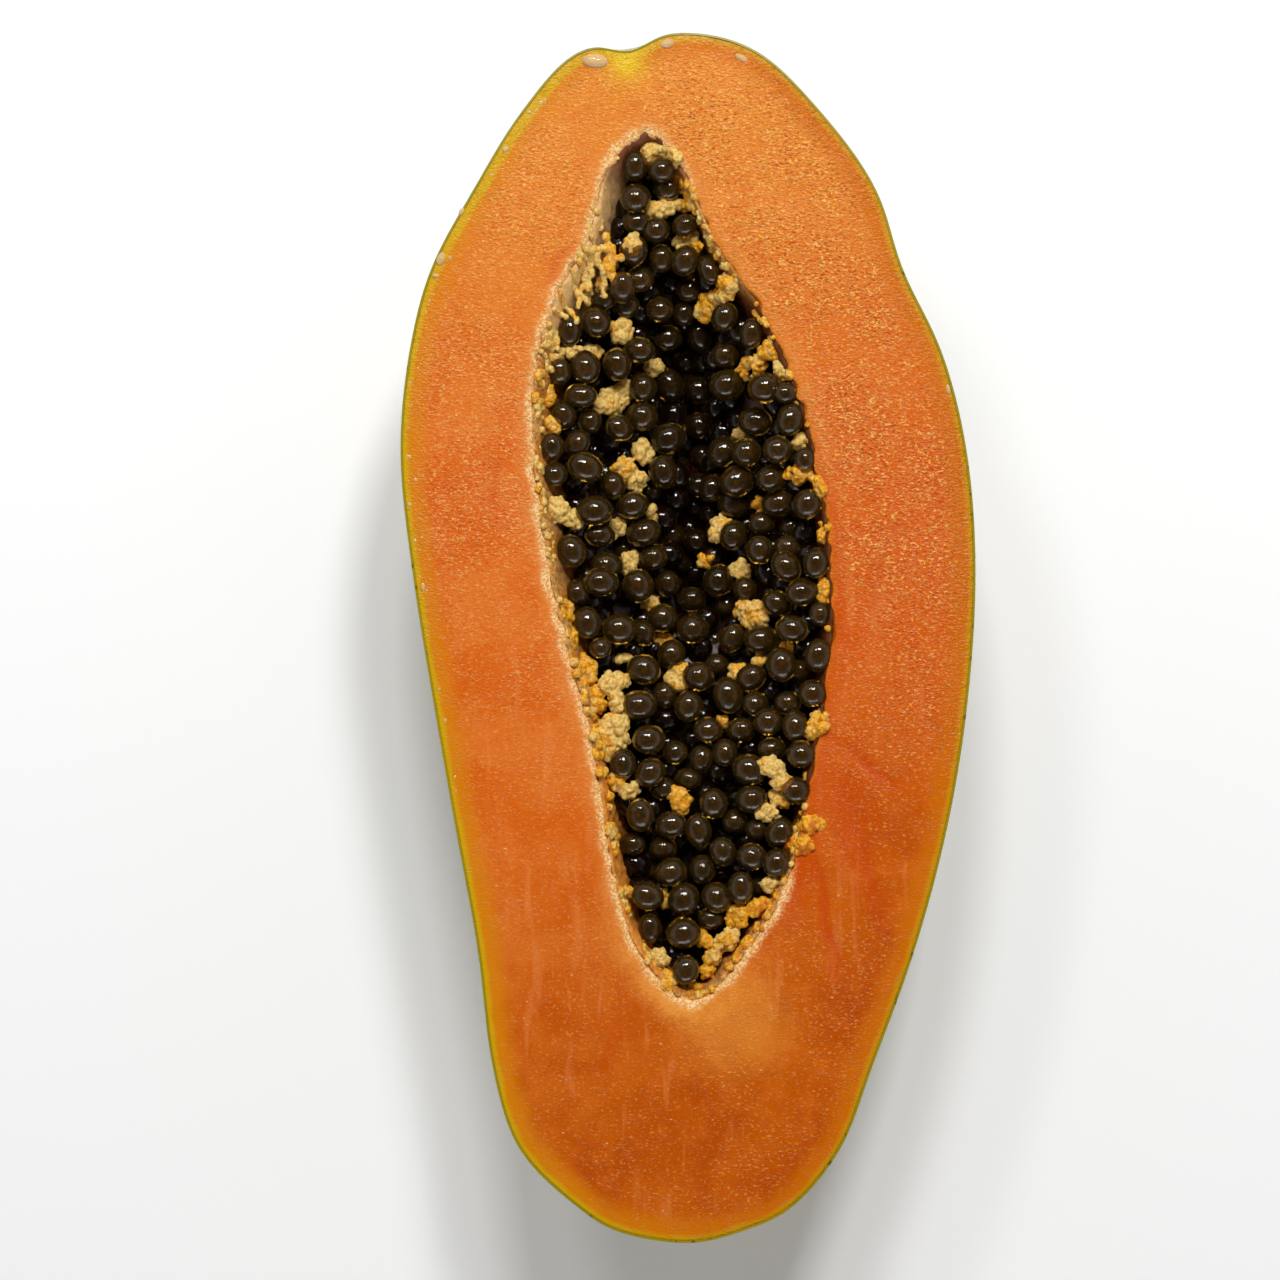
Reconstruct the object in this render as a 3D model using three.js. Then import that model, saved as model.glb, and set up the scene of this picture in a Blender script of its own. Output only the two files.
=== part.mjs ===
// One half of a ripe papaya, cut lengthwise through its stem scar, with the seeds still in it.
// Millimetres. X runs across the fruit, Y towards its stem end and Z up out of the cut face.
// The origin is on the surface that the half lies on, under the middle of the fruit.

import * as THREE from "three";

// Outline of the cut face: the two tips, and at each place along the fruit its left and right edge.
const FACE_STEM_TIP = [0.4, 115.0];
const FACE_BLOSSOM_TIP = [0.4, -115.0];
const FACE_EDGES = [
  [111.7, -20.4, 12.8],
  [100.3, -31.4, 25.0],
  [85.1, -40.8, 35.9],
  [69.9, -49.0, 40.8],
  [54.7, -52.9, 48.2],
  [35.7, -54.7, 53.0],
  [12.9, -52.4, 54.7],
  [-13.7, -48.1, 53.0],
  [-36.5, -44.1, 49.2],
  [-59.3, -39.9, 43.1],
  [-82.1, -37.0, 34.8],
  [-97.3, -32.0, 28.9],
  [-108.7, -20.3, 19.2],
  [-112.6, -14.0, 10.8],
];

// Rim of the seed cavity on the cut face, given in the same way.
const CAVITY_STEM_TIP = [-7.4, 96.4];
const CAVITY_BLOSSOM_TIP = [0.8, -69.4];
const CAVITY_EDGES = [
  [90.8, -14.6, -2.0],
  [74.7, -19.4, 5.7],
  [63.5, -26.0, 13.4],
  [42.6, -29.8, 22.4],
  [9.1, -25.8, 27.7],
  [-20.3, -18.2, 24.7],
  [-46.7, -13.9, 18.8],
  [-59.5, -9.5, 11.4],
];

// The body below the cut face. Its sections are round, with five faint ribs along the fruit,
// and a little less deep than half their width. The belly is fuller towards the blossom end.
const FACE_HEIGHT = 49.4;
const DEPTH_TO_HALF_WIDTH = 0.956;
const BELLY_DRIFT = 0.0012;
const RIB_COUNT = 5;
const RIB_HEIGHT = 0.5;
const REST_CENTRE = [0, 11];
const REST_HALF_WIDTH = 8;
const REST_HALF_LENGTH = 23;

// The stem scar is a shallow pit in the blunt end, which the cut runs through.
const SCAR_X = -11.2;
const SCAR_RADIUS = 4.6;
const SCAR_DEPTH = 3.2;
const SCAR_REACH = 25;

// The cavity: how deep it is, the strip that is its floor, and how steeply each wall goes down.
const CAVITY_DEPTH = 26;
const FLOOR_CENTRE = [1.5, 8];
const FLOOR_HALF_WIDTH = 4;
const FLOOR_HALF_LENGTH = 48;
const LEFT_WALL_STEEPNESS = 2.4;
const RIGHT_WALL_STEEPNESS = 3.6;

// The heap of seeds. Its edge lies lower at the left wall, and a trough runs along its middle.
const HEAP_GAP = 0.5;
const HEAP_EDGE_LEFT = 4.2;
const HEAP_EDGE_RIGHT = 1.2;
const TROUGH_DEPTH = 14;
const TROUGH_CENTRE = [0.8, 30];
const TROUGH_HALF_LENGTH = 42;
const HEAP_BLOSSOM_DEPTH = 4.5;
const SEED_LENGTH = 6.5;
const SEED_LUMP = 0.9;

// How finely the shapes are faceted.
const FACE_POINTS = 116;
const HEAP_POINTS = 64;
const END_CROWDING = 0.45;
const SKIN_RINGS = 13;
const FACE_RINGS = 4;
const CAVITY_RINGS = 7;
const HEAP_TOP_RINGS = 6;
const HEAP_WALL_RINGS = 4;
const CURVE_SAMPLES = 1200;

function mix(from, to, share) {
  return from + (to - from) * share;
}

// A closed smooth curve through the tips and edges, with what is needed to walk round it.
function outline(stemTip, edges, blossomTip) {
  const right = edges.map(([along, , x]) => new THREE.Vector3(x, along, 0));
  const left = edges.map(([along, x]) => new THREE.Vector3(x, along, 0)).reverse();
  const tips = [stemTip, blossomTip].map(([x, y]) => new THREE.Vector3(x, y, 0));
  const curve = new THREE.CatmullRomCurve3([tips[0], ...right, tips[1], ...left], true, "centripetal");
  curve.arcLengthDivisions = CURVE_SAMPLES;
  const samples = curve.getSpacedPoints(CURVE_SAMPLES);
  const lowest = samples.reduce((best, point, i) => (point.y < samples[best].y ? i : best), 0);
  return { curve, samples, turn: lowest / CURVE_SAMPLES };
}

// Walks round an outline clockwise from its stem tip, with the steps crowded near both tips.
function pointRound(shape, index, count) {
  const half = count / 2;
  const step = (index % half) / half;
  const crowded = step - (END_CROWDING * Math.sin(2 * Math.PI * step)) / (2 * Math.PI);
  const start = index < half ? 0 : shape.turn;
  const length = index < half ? shape.turn : 1 - shape.turn;
  return shape.curve.getPointAt((start + crowded * length) % 1);
}

// The same place on an ellipse, such as the strip that a ring shrinks to.
function pointOnEllipse([x, y], halfWidth, halfLength, index, count) {
  const angle = (2 * Math.PI * index) / count;
  return new THREE.Vector3(x + halfWidth * Math.sin(angle), y + halfLength * Math.cos(angle), 0);
}

// The left and right edge of an outline at a place along the fruit.
function edgesAt(shape, along) {
  const edges = { left: Infinity, right: -Infinity };
  for (let i = 0; i < CURVE_SAMPLES; i += 1) {
    const a = shape.samples[i];
    const b = shape.samples[i + 1];
    if ((a.y - along) * (b.y - along) <= 0 && a.y !== b.y) {
      const x = mix(a.x, b.x, (along - a.y) / (b.y - a.y));
      edges.left = Math.min(edges.left, x);
      edges.right = Math.max(edges.right, x);
    }
  }
  return edges;
}

const face = outline(FACE_STEM_TIP, FACE_EDGES, FACE_BLOSSOM_TIP);
const cavity = outline(CAVITY_STEM_TIP, CAVITY_EDGES, CAVITY_BLOSSOM_TIP);

// How far the skin lies below the cut face.
function skinDepth(x, y) {
  const { left, right } = edgesAt(face, y);
  if (left > right) return 0;
  const halfWidth = Math.max((right - left) / 2, 1e-6);
  const across = THREE.MathUtils.clamp((x - (left + right) / 2) / halfWidth, -1, 1);
  const round = Math.sqrt(1 - across * across);
  const rib = RIB_HEIGHT * Math.cos(RIB_COUNT * Math.asin(across)) * (halfWidth / FACE_HEIGHT);
  return ((DEPTH_TO_HALF_WIDTH - BELLY_DRIFT * y) * halfWidth + rib) * round;
}

// Presses the stem scar into the blunt end.
function pressScar(point) {
  const aside = (point.x - SCAR_X) ** 2 + (point.z - FACE_HEIGHT) ** 2;
  const nearEnd = THREE.MathUtils.smoothstep(point.y, FACE_STEM_TIP[1] - SCAR_REACH, FACE_STEM_TIP[1]);
  point.y -= SCAR_DEPTH * Math.exp(-aside / SCAR_RADIUS ** 2) * nearEnd;
  return point;
}

// A ring of the skin: the rim of the cut face at level 0, the flat spot it rests on at level 1.
function skinRing(level) {
  const reach = Math.cos((level * Math.PI) / 2);
  return ring(FACE_POINTS, (i) => {
    const rim = pointRound(face, i, FACE_POINTS);
    const rest = pointOnEllipse(REST_CENTRE, REST_HALF_WIDTH, REST_HALF_LENGTH, i, FACE_POINTS);
    const point = rest.lerp(rim, reach);
    const depth = level === 0 ? 0 : skinDepth(point.x, point.y);
    point.z = level === 1 ? 0 : Math.max(FACE_HEIGHT - depth, 0);
    return pressScar(point);
  });
}

// A ring of the cut face, from the cavity's rim at share 0 to the rind at share 1.
function faceRing(share) {
  return ring(FACE_POINTS, (i) => {
    const rim = pointRound(face, i, FACE_POINTS);
    rim.z = FACE_HEIGHT;
    const hollow = cavityWall(i, FACE_POINTS, 0, 0);
    return hollow.lerp(pressScar(rim), share);
  });
}

// A point of the cavity's wall: share 0 is its rim and share 1 its floor.
// A gap moves it off the wall, into the cavity.
function cavityWall(index, count, share, gap) {
  const side = Math.sin((2 * Math.PI * index) / count);
  const steepness = mix(LEFT_WALL_STEEPNESS, RIGHT_WALL_STEEPNESS, (1 + side) / 2);
  const rim = pointRound(cavity, index, count);
  const halfWidth = FLOOR_HALF_WIDTH - gap;
  const floor = pointOnEllipse(FLOOR_CENTRE, halfWidth, FLOOR_HALF_LENGTH - gap, index, count);
  const inset = gap / Math.max(rim.distanceTo(floor), gap);
  const point = rim.lerp(floor, mix(inset, 1, share));
  point.z = FACE_HEIGHT - (CAVITY_DEPTH - gap) * (1 - (1 - share) ** steepness);
  return point;
}

// How far down the wall the heap's edge lies, as a share for cavityWall.
function heapEdgeShare(index, count) {
  const side = Math.sin((2 * Math.PI * index) / count);
  const steepness = mix(LEFT_WALL_STEEPNESS, RIGHT_WALL_STEEPNESS, (1 + side) / 2);
  const down = mix(HEAP_EDGE_LEFT, HEAP_EDGE_RIGHT, (1 + side) / 2);
  return 1 - (1 - down / CAVITY_DEPTH) ** (1 / steepness);
}

// The height of the seeds along the middle of the heap, lowest in the trough.
function troughHeight(along) {
  const away = Math.abs(along - TROUGH_CENTRE[1]) / TROUGH_HALF_LENGTH;
  const shallow = THREE.MathUtils.smoothstep(away, 0.4, 1.2);
  return FACE_HEIGHT - mix(TROUGH_DEPTH, HEAP_BLOSSOM_DEPTH, shallow);
}

// A ring of the heap's top, from its edge at share 0 to the middle of the trough at share 1.
function heapTopRing(share) {
  return ring(HEAP_POINTS, (i) => {
    const edge = cavityWall(i, HEAP_POINTS, heapEdgeShare(i, HEAP_POINTS), HEAP_GAP);
    const middle = pointOnEllipse(TROUGH_CENTRE, 1.2, TROUGH_HALF_LENGTH, i, HEAP_POINTS);
    middle.y = mix(edge.y, middle.y, 0.35);
    middle.x = mix(TROUGH_CENTRE[0], edge.x, 0.06);
    middle.z = troughHeight(middle.y);
    const point = edge.clone().lerp(middle, share);
    const slump = THREE.MathUtils.smoothstep(share, 0, 1);
    point.z = mix(edge.z, middle.z, slump);
    if (share > 0) point.z += seedLump(point.x, point.y) * (1 - share ** 3);
    return point;
  });
}

// The seeds' round backs make the heap's top uneven.
function seedLump(x, y) {
  const turn = (2 * Math.PI) / SEED_LENGTH;
  return SEED_LUMP * Math.sin(turn * (x + 0.3 * y)) * Math.cos(turn * (y - 0.4 * x));
}

// A ring of the heap's side, from its edge at share 0 to the cavity's floor at share 1.
function heapWallRing(share) {
  return ring(HEAP_POINTS, (i) => {
    const wallShare = mix(heapEdgeShare(i, HEAP_POINTS), 1, share);
    return cavityWall(i, HEAP_POINTS, wallShare, HEAP_GAP);
  });
}

function ring(count, pointAt) {
  return Array.from({ length: count }, (_, index) => pointAt(index));
}

// Joins rings of equal count into one closed skin. The first and last ring are each closed
// by a row of faces across them, between points at the same place on the left and the right.
function closedSkin(rings) {
  const count = rings[0].length;
  const positions = rings.flat().flatMap((point) => [point.x, point.y, point.z]);
  const triangles = [];
  const quad = (a, b, c, d) => triangles.push(a, b, c, a, c, d);
  for (let level = 0; level < rings.length - 1; level += 1) {
    for (let i = 0; i < count; i += 1) {
      const next = (i + 1) % count;
      const here = level * count;
      quad(here + i, here + next, here + count + next, here + count + i);
    }
  }
  closeAcross(count, 0, triangles, true);
  closeAcross(count, (rings.length - 1) * count, triangles, false);
  const geometry = new THREE.BufferGeometry();
  geometry.setAttribute("position", new THREE.Float32BufferAttribute(positions, 3));
  geometry.setIndex(triangles);
  geometry.computeVertexNormals();
  return geometry;
}

function closeAcross(count, first, triangles, isStart) {
  const corners = (a, b, c) => triangles.push(...(isStart ? [a, c, b] : [a, b, c]));
  for (let i = 0; i < count / 2; i += 1) {
    const [a, b] = [first + i, first + i + 1];
    const [c, d] = [first + ((count - i - 1) % count), first + ((count - i) % count)];
    if (b !== c) corners(a, b, c);
    if (i > 0) corners(a, c, d);
  }
}

function shares(count, first = 0) {
  return Array.from({ length: count + 1 - first }, (_, i) => (i + first) / count);
}

// The flesh: up the cavity from its floor, out over the cut face and round the skin to the flat spot.
function makeFlesh() {
  const wall = shares(CAVITY_RINGS, 1)
    .map((share) => ring(FACE_POINTS, (i) => cavityWall(i, FACE_POINTS, share, 0)))
    .reverse();
  const cut = shares(FACE_RINGS).map(faceRing);
  const skin = shares(SKIN_RINGS, 1).map(skinRing);
  const material = new THREE.MeshStandardMaterial({ color: 0xe98a4c, roughness: 0.42, metalness: 0 });
  return named("flesh", closedSkin([...wall, ...cut, ...skin]), material);
}

// The heap of seeds: from the trough out over its top, then down along the cavity's wall.
function makeSeedHeap() {
  const top = shares(HEAP_TOP_RINGS).map(heapTopRing).reverse();
  const side = shares(HEAP_WALL_RINGS, 1).map(heapWallRing);
  const material = new THREE.MeshStandardMaterial({ color: 0x2a2620, roughness: 0.15, metalness: 0 });
  return named("seed_heap", closedSkin([...top, ...side]), material);
}

function named(name, geometry, material) {
  const mesh = new THREE.Mesh(geometry, material);
  mesh.name = name;
  return mesh;
}

const papayaHalf = new THREE.Group();
papayaHalf.add(makeFlesh(), makeSeedHeap());

export default papayaHalf;
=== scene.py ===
# Half of a ripe papaya, cut lengthwise, lying on its skin with its seeds still in it.
# Metres. X runs across the fruit, Y towards its stem end and Z up out of the cut face.

import math
import random

import bpy
import numpy as np
from mathutils import Matrix, Vector, kdtree, noise
from mathutils.bvhtree import BVHTree


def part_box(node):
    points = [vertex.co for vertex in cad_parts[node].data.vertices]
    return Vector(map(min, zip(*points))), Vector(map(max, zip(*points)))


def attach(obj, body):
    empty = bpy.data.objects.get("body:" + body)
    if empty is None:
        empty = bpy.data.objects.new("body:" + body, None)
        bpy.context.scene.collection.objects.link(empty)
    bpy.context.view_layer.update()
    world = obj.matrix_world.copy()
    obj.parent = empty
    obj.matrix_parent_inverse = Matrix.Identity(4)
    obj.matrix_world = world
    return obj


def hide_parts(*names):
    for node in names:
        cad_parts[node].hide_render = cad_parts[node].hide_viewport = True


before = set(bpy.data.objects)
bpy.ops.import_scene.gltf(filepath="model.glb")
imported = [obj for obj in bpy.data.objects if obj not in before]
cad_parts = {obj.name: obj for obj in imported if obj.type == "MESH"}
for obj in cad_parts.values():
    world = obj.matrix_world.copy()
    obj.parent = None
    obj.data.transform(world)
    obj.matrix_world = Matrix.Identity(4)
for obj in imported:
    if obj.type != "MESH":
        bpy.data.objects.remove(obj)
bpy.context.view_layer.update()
MM = 0.001


# --- Camera ---
# The half is seen from straight above its cut face, with the stem end up, through a long lens.
# The picture is a little wider than the fruit is long.
cut_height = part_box("flesh")[1].z
PICTURE_WIDTH = 243.2 * MM
PICTURE_CENTRE = (-9.1 * MM, -0.4 * MM)
CAMERA_RISE = 0.75
bpy.ops.object.camera_add(location=(*PICTURE_CENTRE, cut_height + CAMERA_RISE), rotation=(0, 0, 0))
camera = bpy.context.object
camera.data.sensor_width = 36
camera.data.lens = camera.data.sensor_width * CAMERA_RISE / PICTURE_WIDTH
camera.data.clip_start = 0.01
bpy.context.scene.camera = camera


# --- Table and light ---
# A pale matt table. Three short ceiling lamps beyond the stem end light the cut face and make
# the small bright ticks on the seeds, and a long low one fills the shadows from the other end.
# The room is dark overhead and pale all round.


def paint(red, green, blue):
    """A colour from its eight-bit screen values."""
    values = (red, green, blue)
    return (*(((v / 255 + 0.055) / 1.055) ** 2.4 if v > 10 else v / 3295 for v in values), 1)


def set_inputs(node, inputs):
    """Sets each named input of a node to a value, or links it to the output that feeds it."""
    for socket, value in inputs.items():
        if isinstance(value, bpy.types.NodeSocket):
            node.id_data.links.new(value, node.inputs[socket])
        else:
            node.inputs[socket].default_value = value


def new_material(piece, name, roughness, **others):
    """Adds a material to a piece. Gives its node tree and its one Principled shader."""
    material = bpy.data.materials.new(name)
    material.use_nodes = True
    piece.data.materials.append(material)
    shader = material.node_tree.nodes["Principled BSDF"]
    set_inputs(shader, {"Roughness": roughness})
    set_inputs(shader, {socket.replace("_", " "): value for socket, value in others.items()})
    return material.node_tree, shader


bpy.ops.mesh.primitive_plane_add(size=6, location=(0, 0, 0))
table = bpy.context.object
table.name = "table"
new_material(table, "table_matt", 0.9, Base_Color=paint(252, 253, 255))

# The place, width, length and watts of each lamp.
LAMPS = [
    ((0.18, 0.64, 0.86), 0.15, 0.24, 5.2),
    ((-0.06, 0.67, 0.86), 0.17, 0.16, 3.8),
    ((-0.36, 0.62, 0.82), 0.20, 0.10, 1.6),
    ((0.1, -1.5, 0.62), 1.6, 0.5, 6.6),
]
LIT_PLACE = Vector((0, 0, 0.05))
for place, width, length, watts in LAMPS:
    bpy.ops.object.light_add(type="AREA", location=place)
    lamp = bpy.context.object
    lamp.rotation_euler = (LIT_PLACE - Vector(place)).to_track_quat("-Z", "Y").to_euler()
    lamp.data.shape = "RECTANGLE"
    lamp.data.size = width
    lamp.data.size_y = length
    lamp.data.energy = watts


def add_node(tree, kind, inputs=None, **settings):
    """Adds a shader node with settings and inputs."""
    node = tree.nodes.new(kind)
    for name, value in settings.items():
        setattr(node, name, value)
    set_inputs(node, inputs or {})
    return node


def share_of(value, low, high, start=0.0, end=1.0):
    """A value from low to high made into a share from start to end, with soft ends."""
    inputs = {"Value": value, "From Min": low, "From Max": high, "To Min": start, "To Max": end}
    node = add_node(value.id_data, "ShaderNodeMapRange", inputs, interpolation_type="SMOOTHSTEP")
    return node.outputs["Result"]


def axes_of(place):
    """The X, Y and Z of a place."""
    return add_node(place.id_data, "ShaderNodeSeparateXYZ", {"Vector": place}).outputs


world = bpy.data.worlds.new("room")
world.use_nodes = True
bpy.context.scene.world = world
direction = add_node(world.node_tree, "ShaderNodeTexCoord").outputs["Generated"]
strength = share_of(axes_of(direction)["Z"], 0.25, 0.92, 0.60, 0.06)
room = world.node_tree.nodes["Background"]
set_inputs(room, {"Color": (1.0, 0.96, 0.90, 1), "Strength": strength})
bpy.context.scene.view_settings.view_transform = "Standard"


# --- Flesh ---
# The ripe flesh is one soft piece with a wet cut face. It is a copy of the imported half, pared
# by the thickness of the rind, with its face cut into fine facets for the marks of the knife.
RIND_THICKNESS = 0.4 * MM
RIM_INSET = 1.2 * MM
FACE_WAVE = 0.10 * MM


def add_piece(name, mesh):
    """A new piece with a mesh, as the only chosen object."""
    piece = bpy.data.objects.new(name, mesh)
    bpy.context.scene.collection.objects.link(piece)
    bpy.ops.object.select_all(action="DESELECT")
    piece.select_set(True)
    bpy.context.view_layer.objects.active = piece
    return piece


def copy_of_node(node, name):
    """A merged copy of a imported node's mesh in four-sided faces, left in edit mode."""
    piece = add_piece(name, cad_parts[node].data.copy())
    piece.data.materials.clear()
    bpy.ops.mesh.customdata_custom_splitnormals_clear()
    bpy.ops.object.mode_set(mode="EDIT")
    bpy.ops.mesh.select_all(action="SELECT")
    bpy.ops.mesh.mark_sharp(clear=True)
    bpy.ops.mesh.remove_doubles(threshold=0.001 * MM)
    bpy.ops.mesh.tris_convert_to_quads(face_threshold=math.pi, shape_threshold=math.pi)
    return piece


def choose_faces(piece, test):
    """Selects in edit mode the faces whose centre and normal pass a test."""
    bpy.ops.object.mode_set(mode="EDIT")
    bpy.ops.mesh.select_mode(type="FACE")
    bpy.ops.mesh.select_all(action="DESELECT")
    bpy.ops.object.mode_set(mode="OBJECT")
    for face in piece.data.polygons:
        face.select = test(face.center, face.normal)
    bpy.ops.object.mode_set(mode="EDIT")


FLAT = 0.01 * MM
STEM_SCAR_FROM = 104 * MM


def is_cut(centre, normal):
    return normal.z > 0.999 and centre.z > cut_height - FLAT


def is_skin(centre, normal):
    return not is_cut(centre, normal) and (normal.z < 0.15 or centre.y > STEM_SCAR_FROM)


def is_hollow(centre, normal):
    return not is_cut(centre, normal) and not is_skin(centre, normal)


def apply_modifiers(piece):
    """Applies a piece's modifiers, from the first to the last."""
    bpy.ops.object.mode_set(mode="OBJECT")
    bpy.context.view_layer.objects.active = piece
    for modifier in list(piece.modifiers):
        bpy.ops.object.modifier_apply(modifier=modifier.name)


def round_off(piece, levels):
    """Subdivides a piece into a smooth one."""
    smooth = piece.modifiers.new("round", "SUBSURF")
    smooth.levels = smooth.render_levels = levels
    apply_modifiers(piece)


def chosen_edge_points(piece):
    """The corners of the edges that bound the chosen faces."""
    bpy.ops.mesh.region_to_loop()
    bpy.ops.object.mode_set(mode="OBJECT")
    return [v.index for v in piece.data.vertices if v.select]


flesh = copy_of_node("flesh", "papaya_flesh")
choose_faces(flesh, is_skin)
bpy.ops.transform.shrink_fatten(value=-RIND_THICKNESS, use_even_offset=True)
bpy.ops.object.mode_set(mode="OBJECT")
for corner in flesh.data.vertices:
    if corner.co.z > cut_height - RIND_THICKNESS:
        corner.co.z = cut_height
choose_faces(flesh, is_cut)
bpy.ops.mesh.inset(thickness=RIM_INSET, use_even_offset=True, use_boundary=True)
choose_faces(flesh, is_cut)
bpy.ops.mesh.region_to_loop()
bpy.ops.transform.edge_crease(value=1)
round_off(flesh, 2)
choose_faces(flesh, is_cut)
bpy.ops.mesh.subdivide(number_cuts=1)
choose_faces(flesh, is_cut)
rim_corners = chosen_edge_points(flesh)
choose_faces(flesh, is_skin)
bpy.ops.object.mode_set(mode="OBJECT")
skin_corners = {i for face in flesh.data.polygons if face.select for i in face.vertices}


def nearness_tree(points):
    """A search tree over points of the cut face."""
    tree = kdtree.KDTree(len(points))
    for index, point in enumerate(points):
        tree.insert(point, index)
    tree.balance()
    return tree


rind_rim = nearness_tree([flesh.data.vertices[i].co for i in rim_corners if i in skin_corners])
hollow_corners = [i for i in rim_corners if i not in skin_corners]
hollow_rim = nearness_tree([flesh.data.vertices[i].co for i in hollow_corners])

# Soft red smears and creases: start, end, half width, colour strength and depth, all in mm.
SMEARS = [
    ((-28, 67), (-22, 74.5), 0.9, 0.6, 0.15),
    ((-37, 34), (-36.5, 22), 0.9, 0.5, 0.1),
    ((26.5, -22), (34, -46), 4.2, 0.8, 0.35),
    ((23, -36), (28.8, -68), 1.2, 1, 0.45),
    ((28, -20), (40, -28), 1.3, 1, 0.35),
    ((31, -28), (36.5, -56), 1.3, 0.8, 0.30),
    ((22, -34), (20, -54), 2.6, 0.6, 0.20),
    ((38, 20), (30, -10), 2, 0.35, 0.10),
    ((-12, -66), (-16, -84), 1.6, 0.35, 0.05),
    ((29, 10), (30, -8), 1.3, 0.5, 0.1),
]


def distance_to_line(point, start, end):
    """How far a point lies from a line between two ends, and how far along it, from 0 to 1."""
    line = end - start
    along = max(0.0, min(1.0, (point - start).dot(line) / line.length_squared))
    return (point - start - line * along).length, along


def waves(point, size, shift=(0, 0, 0)):
    """Smooth random waves at a point, from -1 to 1 and about a size long, in millimetres."""
    return noise.noise(point / (size * MM) + Vector(shift))


def smear_at(point):
    """The strongest colour and the summed depth of the smears at a point of the cut face."""
    colour, depth = 0.0, 0.0
    wander = Vector((waves(point, 7), waves(point, 5))) * 1.5
    for start, end, half_width, strength, groove in SMEARS:
        away, along = distance_to_line(Vector(point.xy) / MM + wander, Vector(start), Vector(end))
        fade = math.exp(-((away / half_width) ** 2)) * math.sin(math.pi * (0.1 + 0.8 * along))
        colour = max(colour, strength * fade)
        depth += groove * fade
    return colour, depth


def write_values(piece, name, values):
    """Stores one number for each corner of a piece."""
    attribute = piece.data.attributes.new(name, "FLOAT", "POINT")
    attribute.data.foreach_set("value", values)


# The cut face sinks along its two edges, and the torn edge of the hollow strays sideways.
RIND_DIP, RIND_DIP_REACH = 0.14 * MM, 0.7 * MM
HOLLOW_DIP, HOLLOW_DIP_REACH = 0.45 * MM, 0.6 * MM
STRAY, STRAY_WAVE, STRAY_REACH = 1.1 * MM, 2.6, 1.6 * MM
YELLOW_PATCH = (-11.6, 109.0)
YELLOW_PATCH_REACH = (3.4, 3.0)
measures = []
for corner in flesh.data.vertices:
    rind_away = rind_rim.find(corner.co)[2]
    hollow_away = hollow_rim.find(corner.co)[2]
    colour = 0.0
    if corner.co.z > cut_height - FLAT:
        colour, depth = smear_at(corner.co)
        corner.co.z -= depth * MM
        corner.co.z += FACE_WAVE * waves(corner.co, 9)
        corner.co.z -= RIND_DIP * math.exp(-rind_away / RIND_DIP_REACH)
        corner.co.z -= HOLLOW_DIP * math.exp(-hollow_away / HOLLOW_DIP_REACH)
    stray = Vector((waves(corner.co, STRAY_WAVE), waves(corner.co, STRAY_WAVE, (5, 1, 8)), 0))
    corner.co += stray * STRAY * math.exp(-hollow_away / STRAY_REACH)
    aside = (corner.co.x / MM - YELLOW_PATCH[0]) / YELLOW_PATCH_REACH[0]
    ahead = (corner.co.y / MM - YELLOW_PATCH[1]) / YELLOW_PATCH_REACH[1]
    yellow = math.exp(-(aside**2) - ahead**2)
    measures.append((rind_away / MM, hollow_away / MM, colour, yellow))
for name, values in zip(("from_rind", "from_hollow", "smeared", "yellowed"), zip(*measures)):
    write_values(flesh, name, values)
bpy.ops.object.shade_smooth()


def object_place(tree, scale=(1, 1, 1), turn=(0, 0, 0)):
    """The place on the piece in millimetres, stretched by a scale and turned."""
    place = add_node(tree, "ShaderNodeTexCoord").outputs["Object"]
    inputs = {"Vector": place, "Scale": tuple(1 / MM * s for s in scale), "Rotation": turn}
    return add_node(tree, "ShaderNodeMapping", inputs).outputs["Vector"]


def cloud(place, size, detail=2.0, rough=0.5, twist=0.0):
    """A noise pattern whose blotches are about a size across, in millimetres."""
    inputs = {"Vector": place, "Scale": 1 / size, "Detail": detail}
    inputs.update({"Roughness": rough, "Distortion": twist})
    return add_node(place.id_data, "ShaderNodeTexNoise", inputs).outputs["Fac"]


def from_dots(place, spacing):
    """How far each place lies from the nearest of many scattered dots."""
    inputs = {"Vector": place, "Scale": 1 / spacing}
    return add_node(place.id_data, "ShaderNodeTexVoronoi", inputs).outputs["Distance"]


def calculate(operation, first, second=0.0):
    inputs = {0: first, 1: second}
    return add_node(first.id_data, "ShaderNodeMath", inputs, operation=operation).outputs[0]


def times(product, *others):
    for other in others:
        product = calculate("MULTIPLY", product, other)
    return product


def plus(first, second):
    return calculate("ADD", first, second)


def apart(first, second):
    """How far two values lie apart."""
    return calculate("ABSOLUTE", calculate("SUBTRACT", first, second))


def blend(share, *colours):
    """Lays the second of two colours over the first by a share."""
    under, over = (paint(*c) if isinstance(c, tuple) else c for c in colours)
    inputs = {"Factor": share, 6: under, 7: over}
    return add_node(share.id_data, "ShaderNodeMix", inputs, data_type="RGBA").outputs[2]


def paint_over(colour, *layers):
    """Lays more colours over one, each by its own share, the last on top."""
    for share, over in layers:
        colour = blend(share, colour, over)
    return colour


def value_of(tree, name):
    return add_node(tree, "ShaderNodeAttribute", attribute_name=name).outputs["Fac"]


def bump(height, strength, distance):
    inputs = {"Height": height, "Strength": strength, "Distance": distance}
    return add_node(height.id_data, "ShaderNodeBump", inputs).outputs["Normal"]


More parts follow.
